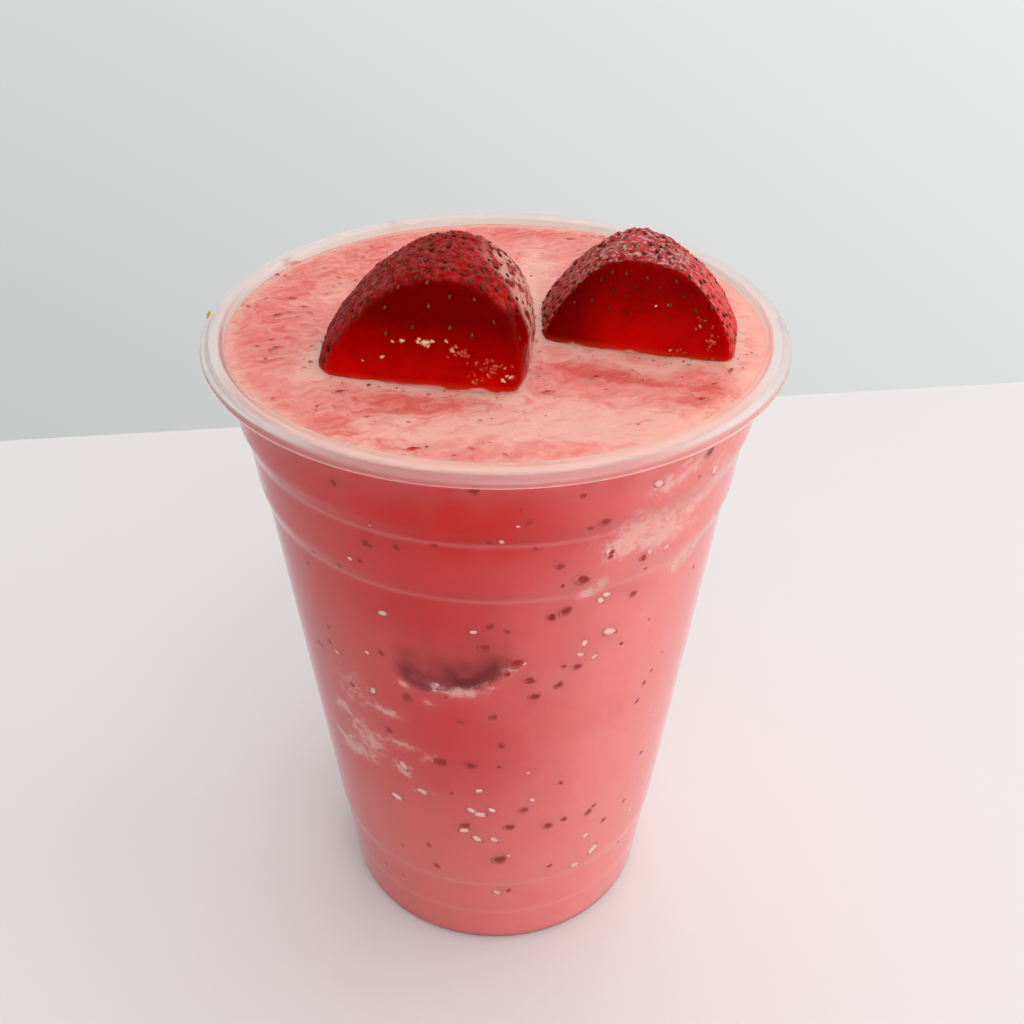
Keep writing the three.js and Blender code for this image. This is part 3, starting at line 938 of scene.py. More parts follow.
def new_tree(name, sockets):
    """A geometry tree with a Start input, the named inputs and a Piece output."""
    tree = bpy.data.node_groups.new(name, "GeometryNodeTree")
    tree.interface.new_socket("Start", in_out="INPUT", socket_type="NodeSocketGeometry")
    for label, kind in sockets:
        tree.interface.new_socket(label, in_out="INPUT", socket_type="NodeSocket" + kind)
    tree.interface.new_socket("Piece", in_out="OUTPUT", socket_type="NodeSocketGeometry")
    return tree, put(tree, "NodeGroupInput").outputs


def end_tree(tree, geometry, finish, second=None):
    """Realizes, smooths and gives the material, and a second one to a share of the faces."""
    real = put(tree, "GeometryNodeRealizeInstances", {0: geometry}).outputs[0]
    shaded = put(tree, "GeometryNodeSetShadeSmooth", {0: real}).outputs[0]
    named = put(tree, "GeometryNodeSetMaterial", {"Geometry": shaded, "Material": finish}).outputs[0]
    if second:
        named = put(tree, "GeometryNodeSetMaterial", {
            "Geometry": named, "Selection": second[0], "Material": second[1],
        }).outputs[0]
    put(tree, "NodeGroupOutput", {0: named})
    return tree


def turned_tree():
    """Turns a row of points, radius along X and height along Z, round the Z axis."""
    tree, given = new_tree("Turned profile", (
        ("Steps", "Int"), ("Weld", "Float"), ("Finish", "Material"),
        ("Rim from", "Float"), ("Rim finish", "Material"),
    ))
    rows = put(tree, "GeometryNodeAttributeDomainSize", {0: given["Start"]}).outputs["Point Count"]
    columns = math_node(tree, "ADD", given["Steps"], 1.0)
    sheet = put(tree, "GeometryNodeMeshGrid", {"Vertices X": rows, "Vertices Y": columns}).outputs[0]
    index = put(tree, "GeometryNodeInputIndex").outputs[0]
    row = math_node(tree, "FLOOR", math_node(tree, "DIVIDE", index, columns))
    step = math_node(tree, "MODULO", index, columns)
    place = put(tree, "GeometryNodeSampleIndex", {
        "Geometry": given["Start"],
        "Value": put(tree, "GeometryNodeInputPosition").outputs[0],
        "Index": row,
    }, data_type="FLOAT_VECTOR").outputs[0]
    profile = put(tree, "ShaderNodeSeparateXYZ", {0: place}).outputs
    turn = math_node(tree, "MULTIPLY", math_node(tree, "DIVIDE", step, given["Steps"]), 2.0 * math.pi)
    point = put(tree, "ShaderNodeCombineXYZ", {
        0: math_node(tree, "MULTIPLY", profile["X"], math_node(tree, "COSINE", turn)),
        1: math_node(tree, "MULTIPLY", profile["X"], math_node(tree, "SINE", turn)),
        2: profile["Z"],
    }).outputs[0]
    placed = put(tree, "GeometryNodeSetPosition", {"Geometry": sheet, "Position": point}).outputs[0]
    welded = put(tree, "GeometryNodeMergeByDistance", {"Geometry": placed, "Distance": given["Weld"]})
    here = put(tree, "ShaderNodeSeparateXYZ", {0: put(tree, "GeometryNodeInputPosition").outputs[0]})
    on_rim = math_node(tree, "GREATER_THAN", here.outputs["Z"], given["Rim from"])
    return end_tree(tree, welded.outputs[0], given["Finish"], (on_rim, given["Rim finish"]))


def placed_bits_tree():
    """Sets a bit on each point, by the point's own up and along directions and size."""
    tree, given = new_tree("Bits at places", (("Bit", "Object"), ("Finish", "Material")))

    def stored(name, kind):
        return put(tree, "GeometryNodeInputNamedAttribute", {"Name": name}, data_type=kind).outputs[0]

    shape = put(tree, "GeometryNodeObjectInfo", {"Object": given["Bit"]}).outputs["Geometry"]
    turn = put(tree, "FunctionNodeAxesToRotation", {
        "Primary Axis": stored("up", "FLOAT_VECTOR"),
        "Secondary Axis": stored("along", "FLOAT_VECTOR"),
    }, primary_axis="Z", secondary_axis="X").outputs[0]
    bits = put(tree, "GeometryNodeInstanceOnPoints", {
        "Points": put(tree, "GeometryNodeMeshToPoints", {0: given["Start"]}).outputs[0],
        "Instance": shape,
        "Rotation": turn,
        "Scale": stored("size", "FLOAT"),
    }).outputs[0]
    return end_tree(tree, bits, given["Finish"])


def random_value(tree, seed, low=None, high=None):
    """A random number for each point, from 0 to 1 or between two given values."""
    made = put(tree, "FunctionNodeRandomValue", {"Seed": seed}, data_type="FLOAT")
    limits = {socket.name: socket for socket in made.inputs if socket.type == "VALUE"}
    for name, value in (("Min", low), ("Max", high)):
        if value is not None:
            tree.links.new(value, limits[name])
    return next(socket for socket in made.outputs if socket.type == "VALUE")


def strewn_bits_tree():
    """Strews bits over a surface where its strewn value is high, turned and sized at random."""
    tree, given = new_tree("Bits strewn on a surface", (
        ("Bit", "Object"), ("Apart", "Float"), ("Most", "Float"), ("Smallest", "Float"),
        ("Largest", "Float"), ("Spin", "Float"), ("Seed", "Int"), ("Finish", "Material"),
    ))
    density = put(tree, "GeometryNodeInputNamedAttribute", {"Name": "strewn"}, data_type="FLOAT").outputs[0]
    spread = put(tree, "GeometryNodeDistributePointsOnFaces", {
        "Mesh": given["Start"],
        "Distance Min": given["Apart"],
        "Density Max": given["Most"],
        "Density Factor": density,
        "Seed": given["Seed"],
    }, distribute_method="POISSON").outputs
    shape = put(tree, "GeometryNodeObjectInfo", {"Object": given["Bit"]}).outputs["Geometry"]
    other_way = math_node(tree, "MULTIPLY", given["Spin"], -1.0)
    spin = random_value(tree, given["Seed"], other_way, given["Spin"])
    turned = put(tree, "FunctionNodeRotateRotation", {
        "Rotation": spread["Rotation"],
        "Rotate By": put(tree, "FunctionNodeEulerToRotation", {
            0: put(tree, "ShaderNodeCombineXYZ", {2: spin}).outputs[0],
        }).outputs[0],
    }, rotation_space="LOCAL").outputs[0]
    size_seed = math_node(tree, "ADD", given["Seed"], 7.0)
    size = random_value(tree, size_seed, given["Smallest"], given["Largest"])
    tone = random_value(tree, math_node(tree, "ADD", given["Seed"], 13.0))
    toned = put(tree, "GeometryNodeStoreNamedAttribute", {
        "Geometry": spread["Points"],
        "Name": "tone",
        "Value": tone,
    }, data_type="FLOAT", domain="POINT").outputs[0]
    bits = put(tree, "GeometryNodeInstanceOnPoints", {
        "Points": toned,
        "Instance": shape,
        "Rotation": turned,
        "Scale": size,
    }).outputs[0]
    return end_tree(tree, bits, given["Finish"])


def tree_named(name, maker):
    """The tree of that name, made on first use."""
    return bpy.data.node_groups.get(name) or maker()


def grown(name, tree, start, inputs):
    """Runs a tree on a starting mesh and keeps the result as a plain mesh object."""
    holder = new_object(name + ".start", start)
    modifier = holder.modifiers.new("make", "NODES")
    modifier.node_group = tree
    for item in tree.interface.items_tree:
        if item.item_type == "SOCKET" and item.in_out == "INPUT" and item.name in inputs:
            modifier[item.identifier] = inputs[item.name]
    evaluated = holder.evaluated_get(bpy.context.evaluated_depsgraph_get())
    mesh = bpy.data.meshes.new_from_object(evaluated)
    mesh.name = name
    bpy.data.objects.remove(holder)
    if not mesh.polygons:
        raise RuntimeError(f"{name}: the tree made no faces")
    return new_object(name, mesh)


def bits_piece(name, tree, start, bit_mesh, finish, **inputs):
    """A piece made of many copies of one bit."""
    bit = new_object(name + ".bit", bit_mesh)
    piece = grown(name, tree, start, {"Bit": bit, "Finish": finish, **inputs})
    bpy.data.objects.remove(bit)
    return piece


def placed_bits(name, start, bit_mesh, finish):
    """A piece with one bit at each of the starting mesh's places."""
    return bits_piece(name, tree_named("Bits at places", placed_bits_tree), start, bit_mesh, finish)


# Operators

class SHAKE_OT_stage(bpy.types.Operator):
    """Makes the pale floor, the soft lights and the camera"""

    bl_idname = "shake.make_stage"
    bl_label = "Stage"

    def execute(self, context):
        look = context.scene.shake_stage
        self.make_floor(look)
        self.make_lights(context)
        self.make_camera(context, look)
        return {"FINISHED"}

    def make_floor(self, look):
        """A flat pale floor in metres, with a far edge that runs a little askew."""
        half = 1.6
        far = ((half, 0.225), (0.35, 0.225), (-0.35, 0.133), (-half, 0.133))
        points = [(-half, -half, 0.0), (half, -half, 0.0), *((x, y, 0.0) for x, y in far)]
        mesh = bpy.data.meshes.new("floor")
        mesh.from_pydata(points, [], [tuple(range(len(points)))])
        material, tree, output = new_material("pale_floor")
        cloud, _ = grain(tree, 0.25, 0.3, 0.7)
        cloudy = math_node(tree, "MULTIPLY", cloud, 0.25)
        tone = blend(tree, cloudy, opaque(look.floor), (0.78, 0.76, 0.77, 1.0))
        surface = put(tree, "ShaderNodeBsdfPrincipled", {"Base Color": tone, "Roughness": 0.6})
        tree.links.new(surface.outputs[0], output.inputs[0])
        mesh.materials.append(material)
        new_object("floor", mesh)

    def make_lights(self, context):
        """Soft area lights round the cup, each as name, place, size, power in watts and colour."""
        scene = context.scene
        scene.view_settings.view_transform = "Standard"
        world = bpy.data.worlds.new("soft_room")
        scene.world = world
        world.use_nodes = True
        self.make_room(world.node_tree)
        aim = Vector((0.0, 0.0, 0.1))
        lights = (
            ("window_right", (1.3, 0.0, 0.76), 1.35, 6.3, (1.0, 0.98, 0.97)),
            ("soft_top_back", (0.15, 0.55, 0.9), 0.8, 1.6, (1.0, 0.99, 0.97)),
            ("soft_front_top", (0.25, -0.75, 0.95), 0.8, 4.7, (1.0, 0.97, 0.96)),
            ("small_front", (-0.41, -0.94, 0.1), 0.1, 0.3, (1.0, 0.95, 0.88)),
        )
        for name, place, size, power, colour in lights:
            lamp = bpy.data.lights.new(name, "AREA")
            lamp.size = size
            lamp.energy = power
            lamp.color = colour
            holder = new_object(name, lamp)
            holder.location = place
            holder.rotation_euler = (Vector(place) - aim).to_track_quat("Z", "Y").to_euler()

    def make_room(self, tree):
        """A soft pale room: dim behind the camera, bright behind the cup and on its right."""
        towards = put(tree, "ShaderNodeTexCoord").outputs["Generated"]
        way = put(tree, "ShaderNodeSeparateXYZ", {0: towards}).outputs
        front_back = span(tree, way["Y"], -0.2, 0.7, 0.4, 0.7)
        left_right = span(tree, way["X"], -0.5, 0.4, -0.1, 0.1)
        overhead = span(tree, way["Z"], 0.2, 1.0, 0.0, 0.1)
        far_glow = span(tree, way["Z"], -0.5, -0.2, -0.06, 0.05)
        strength = math_node(tree, "ADD", math_node(tree, "ADD", front_back, left_right), overhead)
        strength = math_node(tree, "ADD", strength, far_glow)
        back = tree.nodes["Background"]
        back.inputs["Color"].default_value = (0.985, 1.0, 1.0, 1.0)
        tree.links.new(strength, back.inputs["Strength"])

    def make_camera(self, context, look):
        """A camera that looks down on the cup from the front."""
        camera = bpy.data.cameras.new("camera")
        camera.lens = look.lens
        camera.sensor_width = 36.0
        camera.clip_start = 0.01
        holder = new_object("camera", camera)
        pitch = Matrix.Rotation(math.pi / 2.0 - look.camera_pitch, 4, "X")
        roll = Matrix.Rotation(look.camera_roll, 4, "Z")
        holder.matrix_world = Matrix.Translation(look.camera_place) @ pitch @ roll
        context.scene.camera = holder


class SHAKE_OT_cup(bpy.types.Operator):
    """Makes the clear cup by turning its profile"""

    bl_idname = "shake.make_cup"
    bl_label = "Cup"

    def execute(self, context):
        sizes = context.scene.shake_cup
        profile = self.profile(sizes)
        points = np.stack([profile[:, 0], np.zeros(len(profile)), profile[:, 1]], axis=-1)
        start = mesh_of_places("profile", points, {})
        piece = grown("cup_shell", tree_named("Turned profile", turned_tree), start, {
            "Steps": sizes.steps,
            "Weld": WELD * MM,
            "Finish": clear_plastic("clear_plastic", sizes.tint, clear=1.0, rough=0.06, wavy=0.12),
            "Rim from": (NECK_HEIGHT + 0.3) * MM,
            "Rim finish": clear_plastic(
                "clear_plastic_rim", sizes.rim_tint, clear=0.87, rough=0.3, wavy=0.01,
            ),
        })
        outward(piece.data)
        piece.data.set_sharp_from_angle(angle=math.radians(50.0))
        dress(piece, "cup")
        return {"FINISHED"}

    def profile(self, sizes):
        """Radius and height in millimetres: under the base, up the outside, over the rim, down the inside."""
        wall, rise, bend = sizes.wall / MM, sizes.base_rise / MM, sizes.foot_round / MM
        height, rim = sizes.height / MM, sizes.rim_radius / MM
        foot_outer = float(rounded_wall_radius(bend)) - bend
        foot_inner = foot_outer - sizes.foot_width / MM
        floor = rise + wall
        bead = rim - BEAD_CENTRE
        base = [(0.0, rise), (foot_inner - 1.4, rise), (foot_inner - 0.9, rise - 0.15)]
        base += [(foot_inner - 0.2, 0.15), (foot_inner + 0.2, 0.0)]
        foot = self.arc(foot_outer, bend, bend, -90.0, 0.0, 8)
        outside = [(float(rounded_wall_radius(z)), z) for z in np.linspace(bend, NECK_HEIGHT, 130)[1:]]
        under = [(FLANGE_INNER + wall * 0.9, height - wall * 1.6), (FLANGE_INNER + wall * 1.3, height - wall)]
        under += [(FLANGE_OUTER - wall * 0.6, height - wall)]
        lip = self.arc(BEAD_CENTRE, BEAD_HEIGHT, bead, 195.0, 440.0, 20)
        flange = self.arc(FLANGE_OUTER - 0.25, height - 0.25, 0.25, 10.0, 90.0, 4)
        flange += self.arc(FLANGE_INNER + 0.1, height - 0.3, 0.3, 90.0, 180.0, 5)
        downwards = np.linspace(NECK_HEIGHT, floor + 1.4, 70)
        inside = [(float(rounded_wall_radius(z)) - wall, z) for z in downwards]
        corner = float(rounded_wall_radius(floor)) - wall
        inner = self.arc(corner - 1.2, floor + 1.2, 1.2, 0.0, -90.0, 5) + [(0.0, floor)]
        return np.array(base + foot + outside + under + lip + flange + inside + inner)

    def arc(self, x, z, radius, start, end, steps):
        """Points round a centre, from one angle to another in degrees."""
        turns = np.radians(np.linspace(start, end, steps + 1))
        return [(x + radius * math.cos(t), z + radius * math.sin(t)) for t in turns]


class SHAKE_OT_shake(bpy.types.Operator):
    """Makes the shake with its uneven foamy top and the colours that show through the wall"""

    bl_idname = "shake.make_shake"
    bl_label = "Shake"

    def execute(self, context):
        look = context.scene.shake_drink
        inset = shake_inset(context.scene)
        level = look.level / MM
        turn = np.linspace(0.0, 2.0 * math.pi, look.steps, endpoint=False)
        edge = float(rounded_wall_radius(level)) - inset
        radii = edge * np.linspace(0.0, 1.0, TOP_ROWS)[1:]
        x, y = radii[:, None] * np.cos(turn), radii[:, None] * np.sin(turn)
        rise, shore = shake_top(x, y)
        top = np.stack([x, y, level + rise], axis=-1)
        heights = np.linspace(level - 0.9, 1.0, SIDE_ROWS)
        below_bend = np.maximum(0.0, SHAKE_FOOT_ROUND - heights)
        wide = rounded_wall_radius(heights) - inset - SHAKE_FOOT_ROUND
        wide = wide + np.sqrt(SHAKE_FOOT_ROUND ** 2 - below_bend ** 2)
        side = np.stack([
            wide[:, None] * np.cos(turn),
            wide[:, None] * np.sin(turn),
            np.repeat(heights[:, None], look.steps, axis=1),
        ], axis=-1)
        foot = np.stack([0.97 * side[-1, :, 0], 0.97 * side[-1, :, 1], np.full(look.steps, 0.9)], axis=-1)
        rings = np.concatenate([top, side, foot[None]])
        paint = self.paint(top, side, shore)
        mesh = mesh_of_rings("shake_body", rings, (0.0, 0.0, top[0, :, 2].mean()), (0.0, 0.0, 1.9), paint)
        mesh.materials.append(shake_finish(look))
        dress(new_object("shake_body", mesh), "shake")
        return {"FINISHED"}

    def paint(self, top, side, shore):
        """Shares of foam, pulp, frost, stain, red and painted shade for each point."""
        flat = top * (1.0, 1.0, 0.0)
        warp = 3.2 * lumps(flat, 7.0, 3, 2.0)
        x, y = top[..., 0] + warp, top[..., 1] + 0.6 * warp
        radius = np.hypot(top[..., 0], top[..., 1])
        rim_foam = 0.75 * smooth(radius, 40.4, 43.4)
        foam = np.clip(patches(x, y, TOP_FOAM) + 0.6 * np.exp(-shore / 1.3) + rim_foam, 0.0, 1.0)
        pulp = patches(x, y, TOP_PULP)
        fibre = (0.45 + 0.9 * lumps(flat, 9.0, 2, 31.0) + 0.8 * pulp) * (1.0 - 0.75 * foam)
        angle = (np.degrees(np.arctan2(side[..., 1], side[..., 0])) + 270.0) % 360.0 - 180.0
        sway = side_sway(side)
        low, wide = sunk_edge(angle)
        edge = side[..., 2] + 0.35 * sway - low
        blotch = 0.85 + 0.6 * lumps(side, 3.2, 3, 14.0)
        fade = 0.9 * np.exp(-((np.maximum(edge - 1.0, 0.0) / 5.0) ** 2))
        fade = fade + 0.5 * np.exp(-np.maximum(edge, 0.0) / 8.0)
        stain = np.clip(1.1 * wide * blotch * smooth(edge, -0.8, 0.9) * fade, 0.0, 1.0)
        pale = patches(WALL_ARC * angle + 0.5 * sway, side[..., 2] + 0.4 * sway, SIDE_PALE)
        # Painted shade and light on the side, and its reddest patches.
        in_shade, red = side_shade_shares(angle, side[..., 2], sway)
        none_top, none_side = np.zeros(top.shape[:2]), np.zeros(side.shape[:2])
        foot = np.zeros((1, top.shape[1]))
        return {
            "foam": np.concatenate([foam, none_side, foot]),
            "pulp": np.concatenate([pulp, none_side, foot]),
            "fibre": np.concatenate([np.clip(fibre, 0.0, 1.0), none_side + 0.12, foot]),
            "pale": np.concatenate([none_top, pale, foot]),
            "frosty": np.concatenate([none_top, np.clip(3.0 * pale, 0.04, 1.0), foot]),
            "stain": np.concatenate([none_top, stain, foot]),
            "red": np.concatenate([none_top, red, foot]),
            "in_shade": np.concatenate([none_top, in_shade, foot + 1.0]),
            "side": np.concatenate([none_top, none_side + 1.0, foot + 1.0]),
            "strewn": np.concatenate([self.strewn(radius, shore), none_side, foot]),
            "flow": np.concatenate([self.top_flow(x, y), self.side_flow(side)]),
        }

    def top_flow(self, x, y):
        """Places in metres drawn out along X, in which foam and pulp on the top lie in swirls."""
        return np.stack([0.6 * x, y, np.zeros_like(x)], axis=-1) * MM

    def side_flow(self, side):
        """Places in metres drawn out round the wall, in which the frosty smears lie."""
        flow = side * (0.9, 0.9, 1.0) * MM
        return np.concatenate([flow, flow[-1:]])

    def strewn(self, radius, shore):
        """Where small bubbles gather: along the berries' shores and here and there by the wall."""
        return np.clip(np.exp(-((shore - 1.2) / 1.3) ** 2) + 0.04, 0.0, 1.0) * (radius < 42.0)


class SHAKE_OT_berries(bpy.types.Operator):
    """Makes the two berry pieces with a pit for each seed, their seeds, and the pale bits that paint glints
    on their faces
    """

    bl_idname = "shake.make_berries"
    bl_label = "Berries"

    def execute(self, context):
        look = context.scene.shake_berries
        seed_finish = bit_finish("berry_seed", look.seed_gold, look.seed_dark, 0.3)
        wet_red = (0.3, 0.001, 0.0006, 1.0)
        # Painted highlights: pale flat bits on the faces stand in for their glints.
        glint_finish = bit_finish("glint_paint", (0.97, 0.72, 0.4), (0.6, 0.02, 0.006), 0.12, wet_red)
        for form in BERRIES:
            places = pit_places(form, look.pit_spacing / MM)
            mesh, surface = self.body(form, look, places)
            mesh.materials.append(berry_finish(look, form))
            dress(new_object(form.node + "_flesh", mesh), form.node)
            dress(self.seeds(form, look, places, seed_finish))
            dress(self.painted_glints(form, surface, glint_finish))
        return {"FINISHED"}

    def body(self, form, look, places):
        """A berry's mesh with its pits and painted shares, and the points and face shares it has."""
        upper = np.linspace(math.pi / 2.0, 0.0, look.rings + 1)[1:]
        lift = np.concatenate([upper, np.linspace(0.0, -math.pi / 2.0, 18)[1:-1]])
        turn = np.linspace(0.0, 2.0 * math.pi, look.steps, endpoint=False)
        grid = directions_of(turn[None, :], np.repeat(lift[:, None], look.steps, axis=1))
        rings, face = berry_points(form, grid)
        face = np.maximum(face, wrapped_flesh(form, np.broadcast_to(turn, face.shape), rings))
        ragged = 2.4 * lumps(rings, 2.2, 3, form.seed + 2.0) * face * (1.0 - face)
        face = np.clip(face + ragged, 0.0, 1.0)
        away = nearest(rings, places[0])
        pit = np.exp(-((away / (look.pit_radius / MM)) ** 2))
        shown = smooth(rings[..., 2], WATERLINE - 1.0, WATERLINE + 1.5)
        depth = look.pit_depth / MM * (1.0 - 0.72 * face)
        relief = 0.3 * lumps(rings, 6.0, 2, form.seed) * (1.0 - 0.4 * face) - depth * pit * shown
        relief += 0.27 * lumps(rings, 1.0, 2, form.seed + 5.0) * (1.0 - 0.85 * face) * shown
        rings = rings + grid_normals(rings) * relief[..., None]
        first = np.array([*form.tip, WATERLINE + form.rise])
        last = np.array([*rings[-1].mean(axis=0)[:2], WATERLINE - form.sunk])
        foamed = self.foamed(form, rings)
        # Painted shade: the left piece is darker on its right, the right piece on its left.
        if form is BERRIES[0]:
            dim = 0.4 * smooth(rings[..., 0], -1.0, 4.0)
        else:
            dim = 0.8 * (1.0 - smooth(rings[..., 0], 11.0, 20.0))
        # Painted light: the right piece's skin is brighter on its right, towards the window lamp.
        window_lit = 0.8 * smooth(rings[..., 0], 25.0, 36.0)
        paint = {"face": face, "pit": pit * shown, "foamed": foamed, "dim": dim, "window_lit": window_lit}
        return mesh_of_rings(form.node + "_flesh", rings, first, last, paint), (rings, face)

    def painted_glints(self, form, surface, finish):
        """Flat pale bits on the wet face: painted glints, and small bubbles of juice and pulp."""
        rings, face = surface
        normals = grid_normals(rings)[face > 0.5]
        on_face = rings[face > 0.5]
        draw = np.random.default_rng(form.seed + 200)
        spots = np.concatenate([np.array(FACE_GLINTS[form.node]), self.clusters(form, draw)])
        aside = on_face[:, None, 0] - spots[:, 0]
        above = on_face[:, None, 2] - WATERLINE - spots[:, 1]
        nearest_point = (aside ** 2 + above ** 2).argmin(axis=0)
        slope = draw.uniform(-1.2, 1.2, len(spots))
        start = mesh_of_places("places", on_face[nearest_point], {
            "up": normals[nearest_point],
            "along": np.stack([np.ones(len(spots)), np.zeros(len(spots)), slope], axis=-1),
            "size": spots[:, 2],
            "tone": spots[:, 3],
        })
        bit = pebble("bead", (1.15, 0.75, 0.16), 14, 7, point=0.3, rough=0.4, seed=6)
        return placed_bits(form.node + "_beads", start, bit, finish)

    def clusters(self, form, draw):
        """Small pale bits gathered round a few places, mostly dark red: painted glints and small bubbles."""
        rows = []
        for x, height, half_width, half_height, count in FACE_CLUSTERS[form.node]:
            rows.append(np.stack([
                draw.normal(x, 0.6 * half_width, count),
                draw.normal(height, 0.6 * half_height, count),
                draw.uniform(0.3, 0.8, count),
                0.02 + 0.35 * draw.random(count) ** 3.0,
            ], axis=-1))
        return np.concatenate(rows)

    def foamed(self, form, rings):
        """Foam that clings along the waterline and, on the left piece, to its far right shoulder."""
        above = rings[..., 2] - WATERLINE + 0.3 * lumps(rings, 1.8, 2, 3.0)
        above = above + 0.8 * lumps(rings, 6.0, 2, 13.0)
        cling = 0.9 * (1.0 - smooth(above, 0.15, 0.5))
        if form is not BERRIES[0]:
            return cling
        behind = rings[..., 1] + 12.6 + 0.8 * (rings[..., 0] + 1.0)
        shoulder = smooth(rings[..., 0], -3.5, 1.5) * smooth(behind, -0.6, 1.5)
        patchy = smooth(lumps(rings, 2.2, 3, 8.0), -0.6, 0.1)
        return np.maximum(cling, 0.72 * shoulder * patchy)

    def seeds(self, form, look, places, finish):
        """One seed in each pit, its point towards the tip."""
        points, up, along, on_face = places
        draw = np.random.default_rng(form.seed + 100)
        count = len(points)
        depth = look.pit_depth / MM * (1.0 - 0.72 * on_face)
        points = points - up * (depth * 0.45)[:, None]
        along = along + draw.normal(0.0, 0.18, (count, 3))
        tone = draw.uniform(0.0, 0.28, count) + (form.face_tone - 0.1) * on_face
        start = mesh_of_places("places", points, {
            "up": up, "along": along,
            "size": draw.uniform(0.65, 1.05, count) * (1.0 + 0.5 * (form.face_tone - 0.1) * on_face),
            "tone": np.clip(tone, 0.0, 1.0),
        })
        bit = pebble("seed", (0.85, 0.5, 0.42), 8, 5, point=0.55)
        return placed_bits(form.node + "_seeds", start, bit, finish)


class SHAKE_OT_pulp(bpy.types.Operator):
    """Makes the red pulp bits, the shreds and the small bubbles on the shake's top"""

    bl_idname = "shake.make_pulp"
    bl_label = "Pulp and bubbles"

    def execute(self, context):
        look = context.scene.shake_drink
        spots = np.array(TOP_BITS)
        rise, _ = shake_top(spots[:, 0], spots[:, 1])
        points = np.stack([spots[:, 0], spots[:, 1], look.level / MM + rise], axis=-1)
        turn = np.radians(spots[:, 3])
        start = mesh_of_places("places", points, {
            "up": np.tile((0.0, 0.0, 1.0), (len(spots), 1)),
            "along": np.stack([np.cos(turn), np.sin(turn), np.zeros(len(spots))], axis=-1),
            "size": spots[:, 2],
            "tone": np.linspace(0.2, 1.0, len(spots)),
        })
        around = (0.84, 0.27, 0.22, 1.0)
        red = bit_finish("pulp_bit", (0.7, 0.02, 0.014), (0.5, 0.008, 0.006), 0.2, around)
        bit = pebble("pulp", (1.25, 0.65, 0.14), 14, 7, point=0.5, rough=0.35, seed=5)
        dress(placed_bits("pulp_bits", start, bit, red))
        surface = bpy.data.objects["shake_body"].data.copy()
        foamy = (0.86, 0.4, 0.33, 1.0)
        dark = bit_finish("bubble", (0.66, 0.24, 0.2), (0.24, 0.04, 0.035), 0.15, foamy)
        bubble = pebble("bubble", (0.85, 0.7, 0.2), 8, 5)
        strewn = tree_named("Bits strewn on a surface", strewn_bits_tree)
        piece = bits_piece(
            "shore_bubbles", strewn, surface, bubble, dark,
            Apart=1.4 * MM, Most=260000.0, Smallest=0.4, Largest=1.15, Spin=math.pi, Seed=4,
        )
        dress(piece)
        soft_red = bit_finish("pulp_shred", (0.78, 0.12, 0.09), (0.62, 0.03, 0.025), 0.35, around)
        shred = pebble("shred", (1.8, 0.9, 0.12), 10, 5, point=0.3, rough=0.35, seed=12)
        piece = bits_piece(
            "pulp_shreds", strewn, self.fibrous_top(look), shred, soft_red,
            Apart=1.5 * MM, Most=80000.0, Smallest=0.25, Largest=1.0, Spin=0.7, Seed=17,
        )
        dress(piece)
        return {"FINISHED"}

    def fibrous_top(self, look):
        """A copy of the shake whose strewn value is high where fibres of pulp show on its top."""
        mesh = bpy.data.objects["shake_body"].data.copy()
        count = len(mesh.vertices)
        fibre, foam, places = (np.zeros(size, np.float32) for size in (count, count, 3 * count))
        mesh.attributes["fibre"].data.foreach_get("value", fibre)
        mesh.attributes["foam"].data.foreach_get("value", foam)
        mesh.vertices.foreach_get("co", places)
        on_top = places[2::3] > (look.level - 1.6 * MM)
        strewn = np.clip((fibre - 0.25 * foam) * on_top, 0.0, 1.0)
        mesh.attributes["strewn"].data.foreach_set("value", strewn)
        return mesh


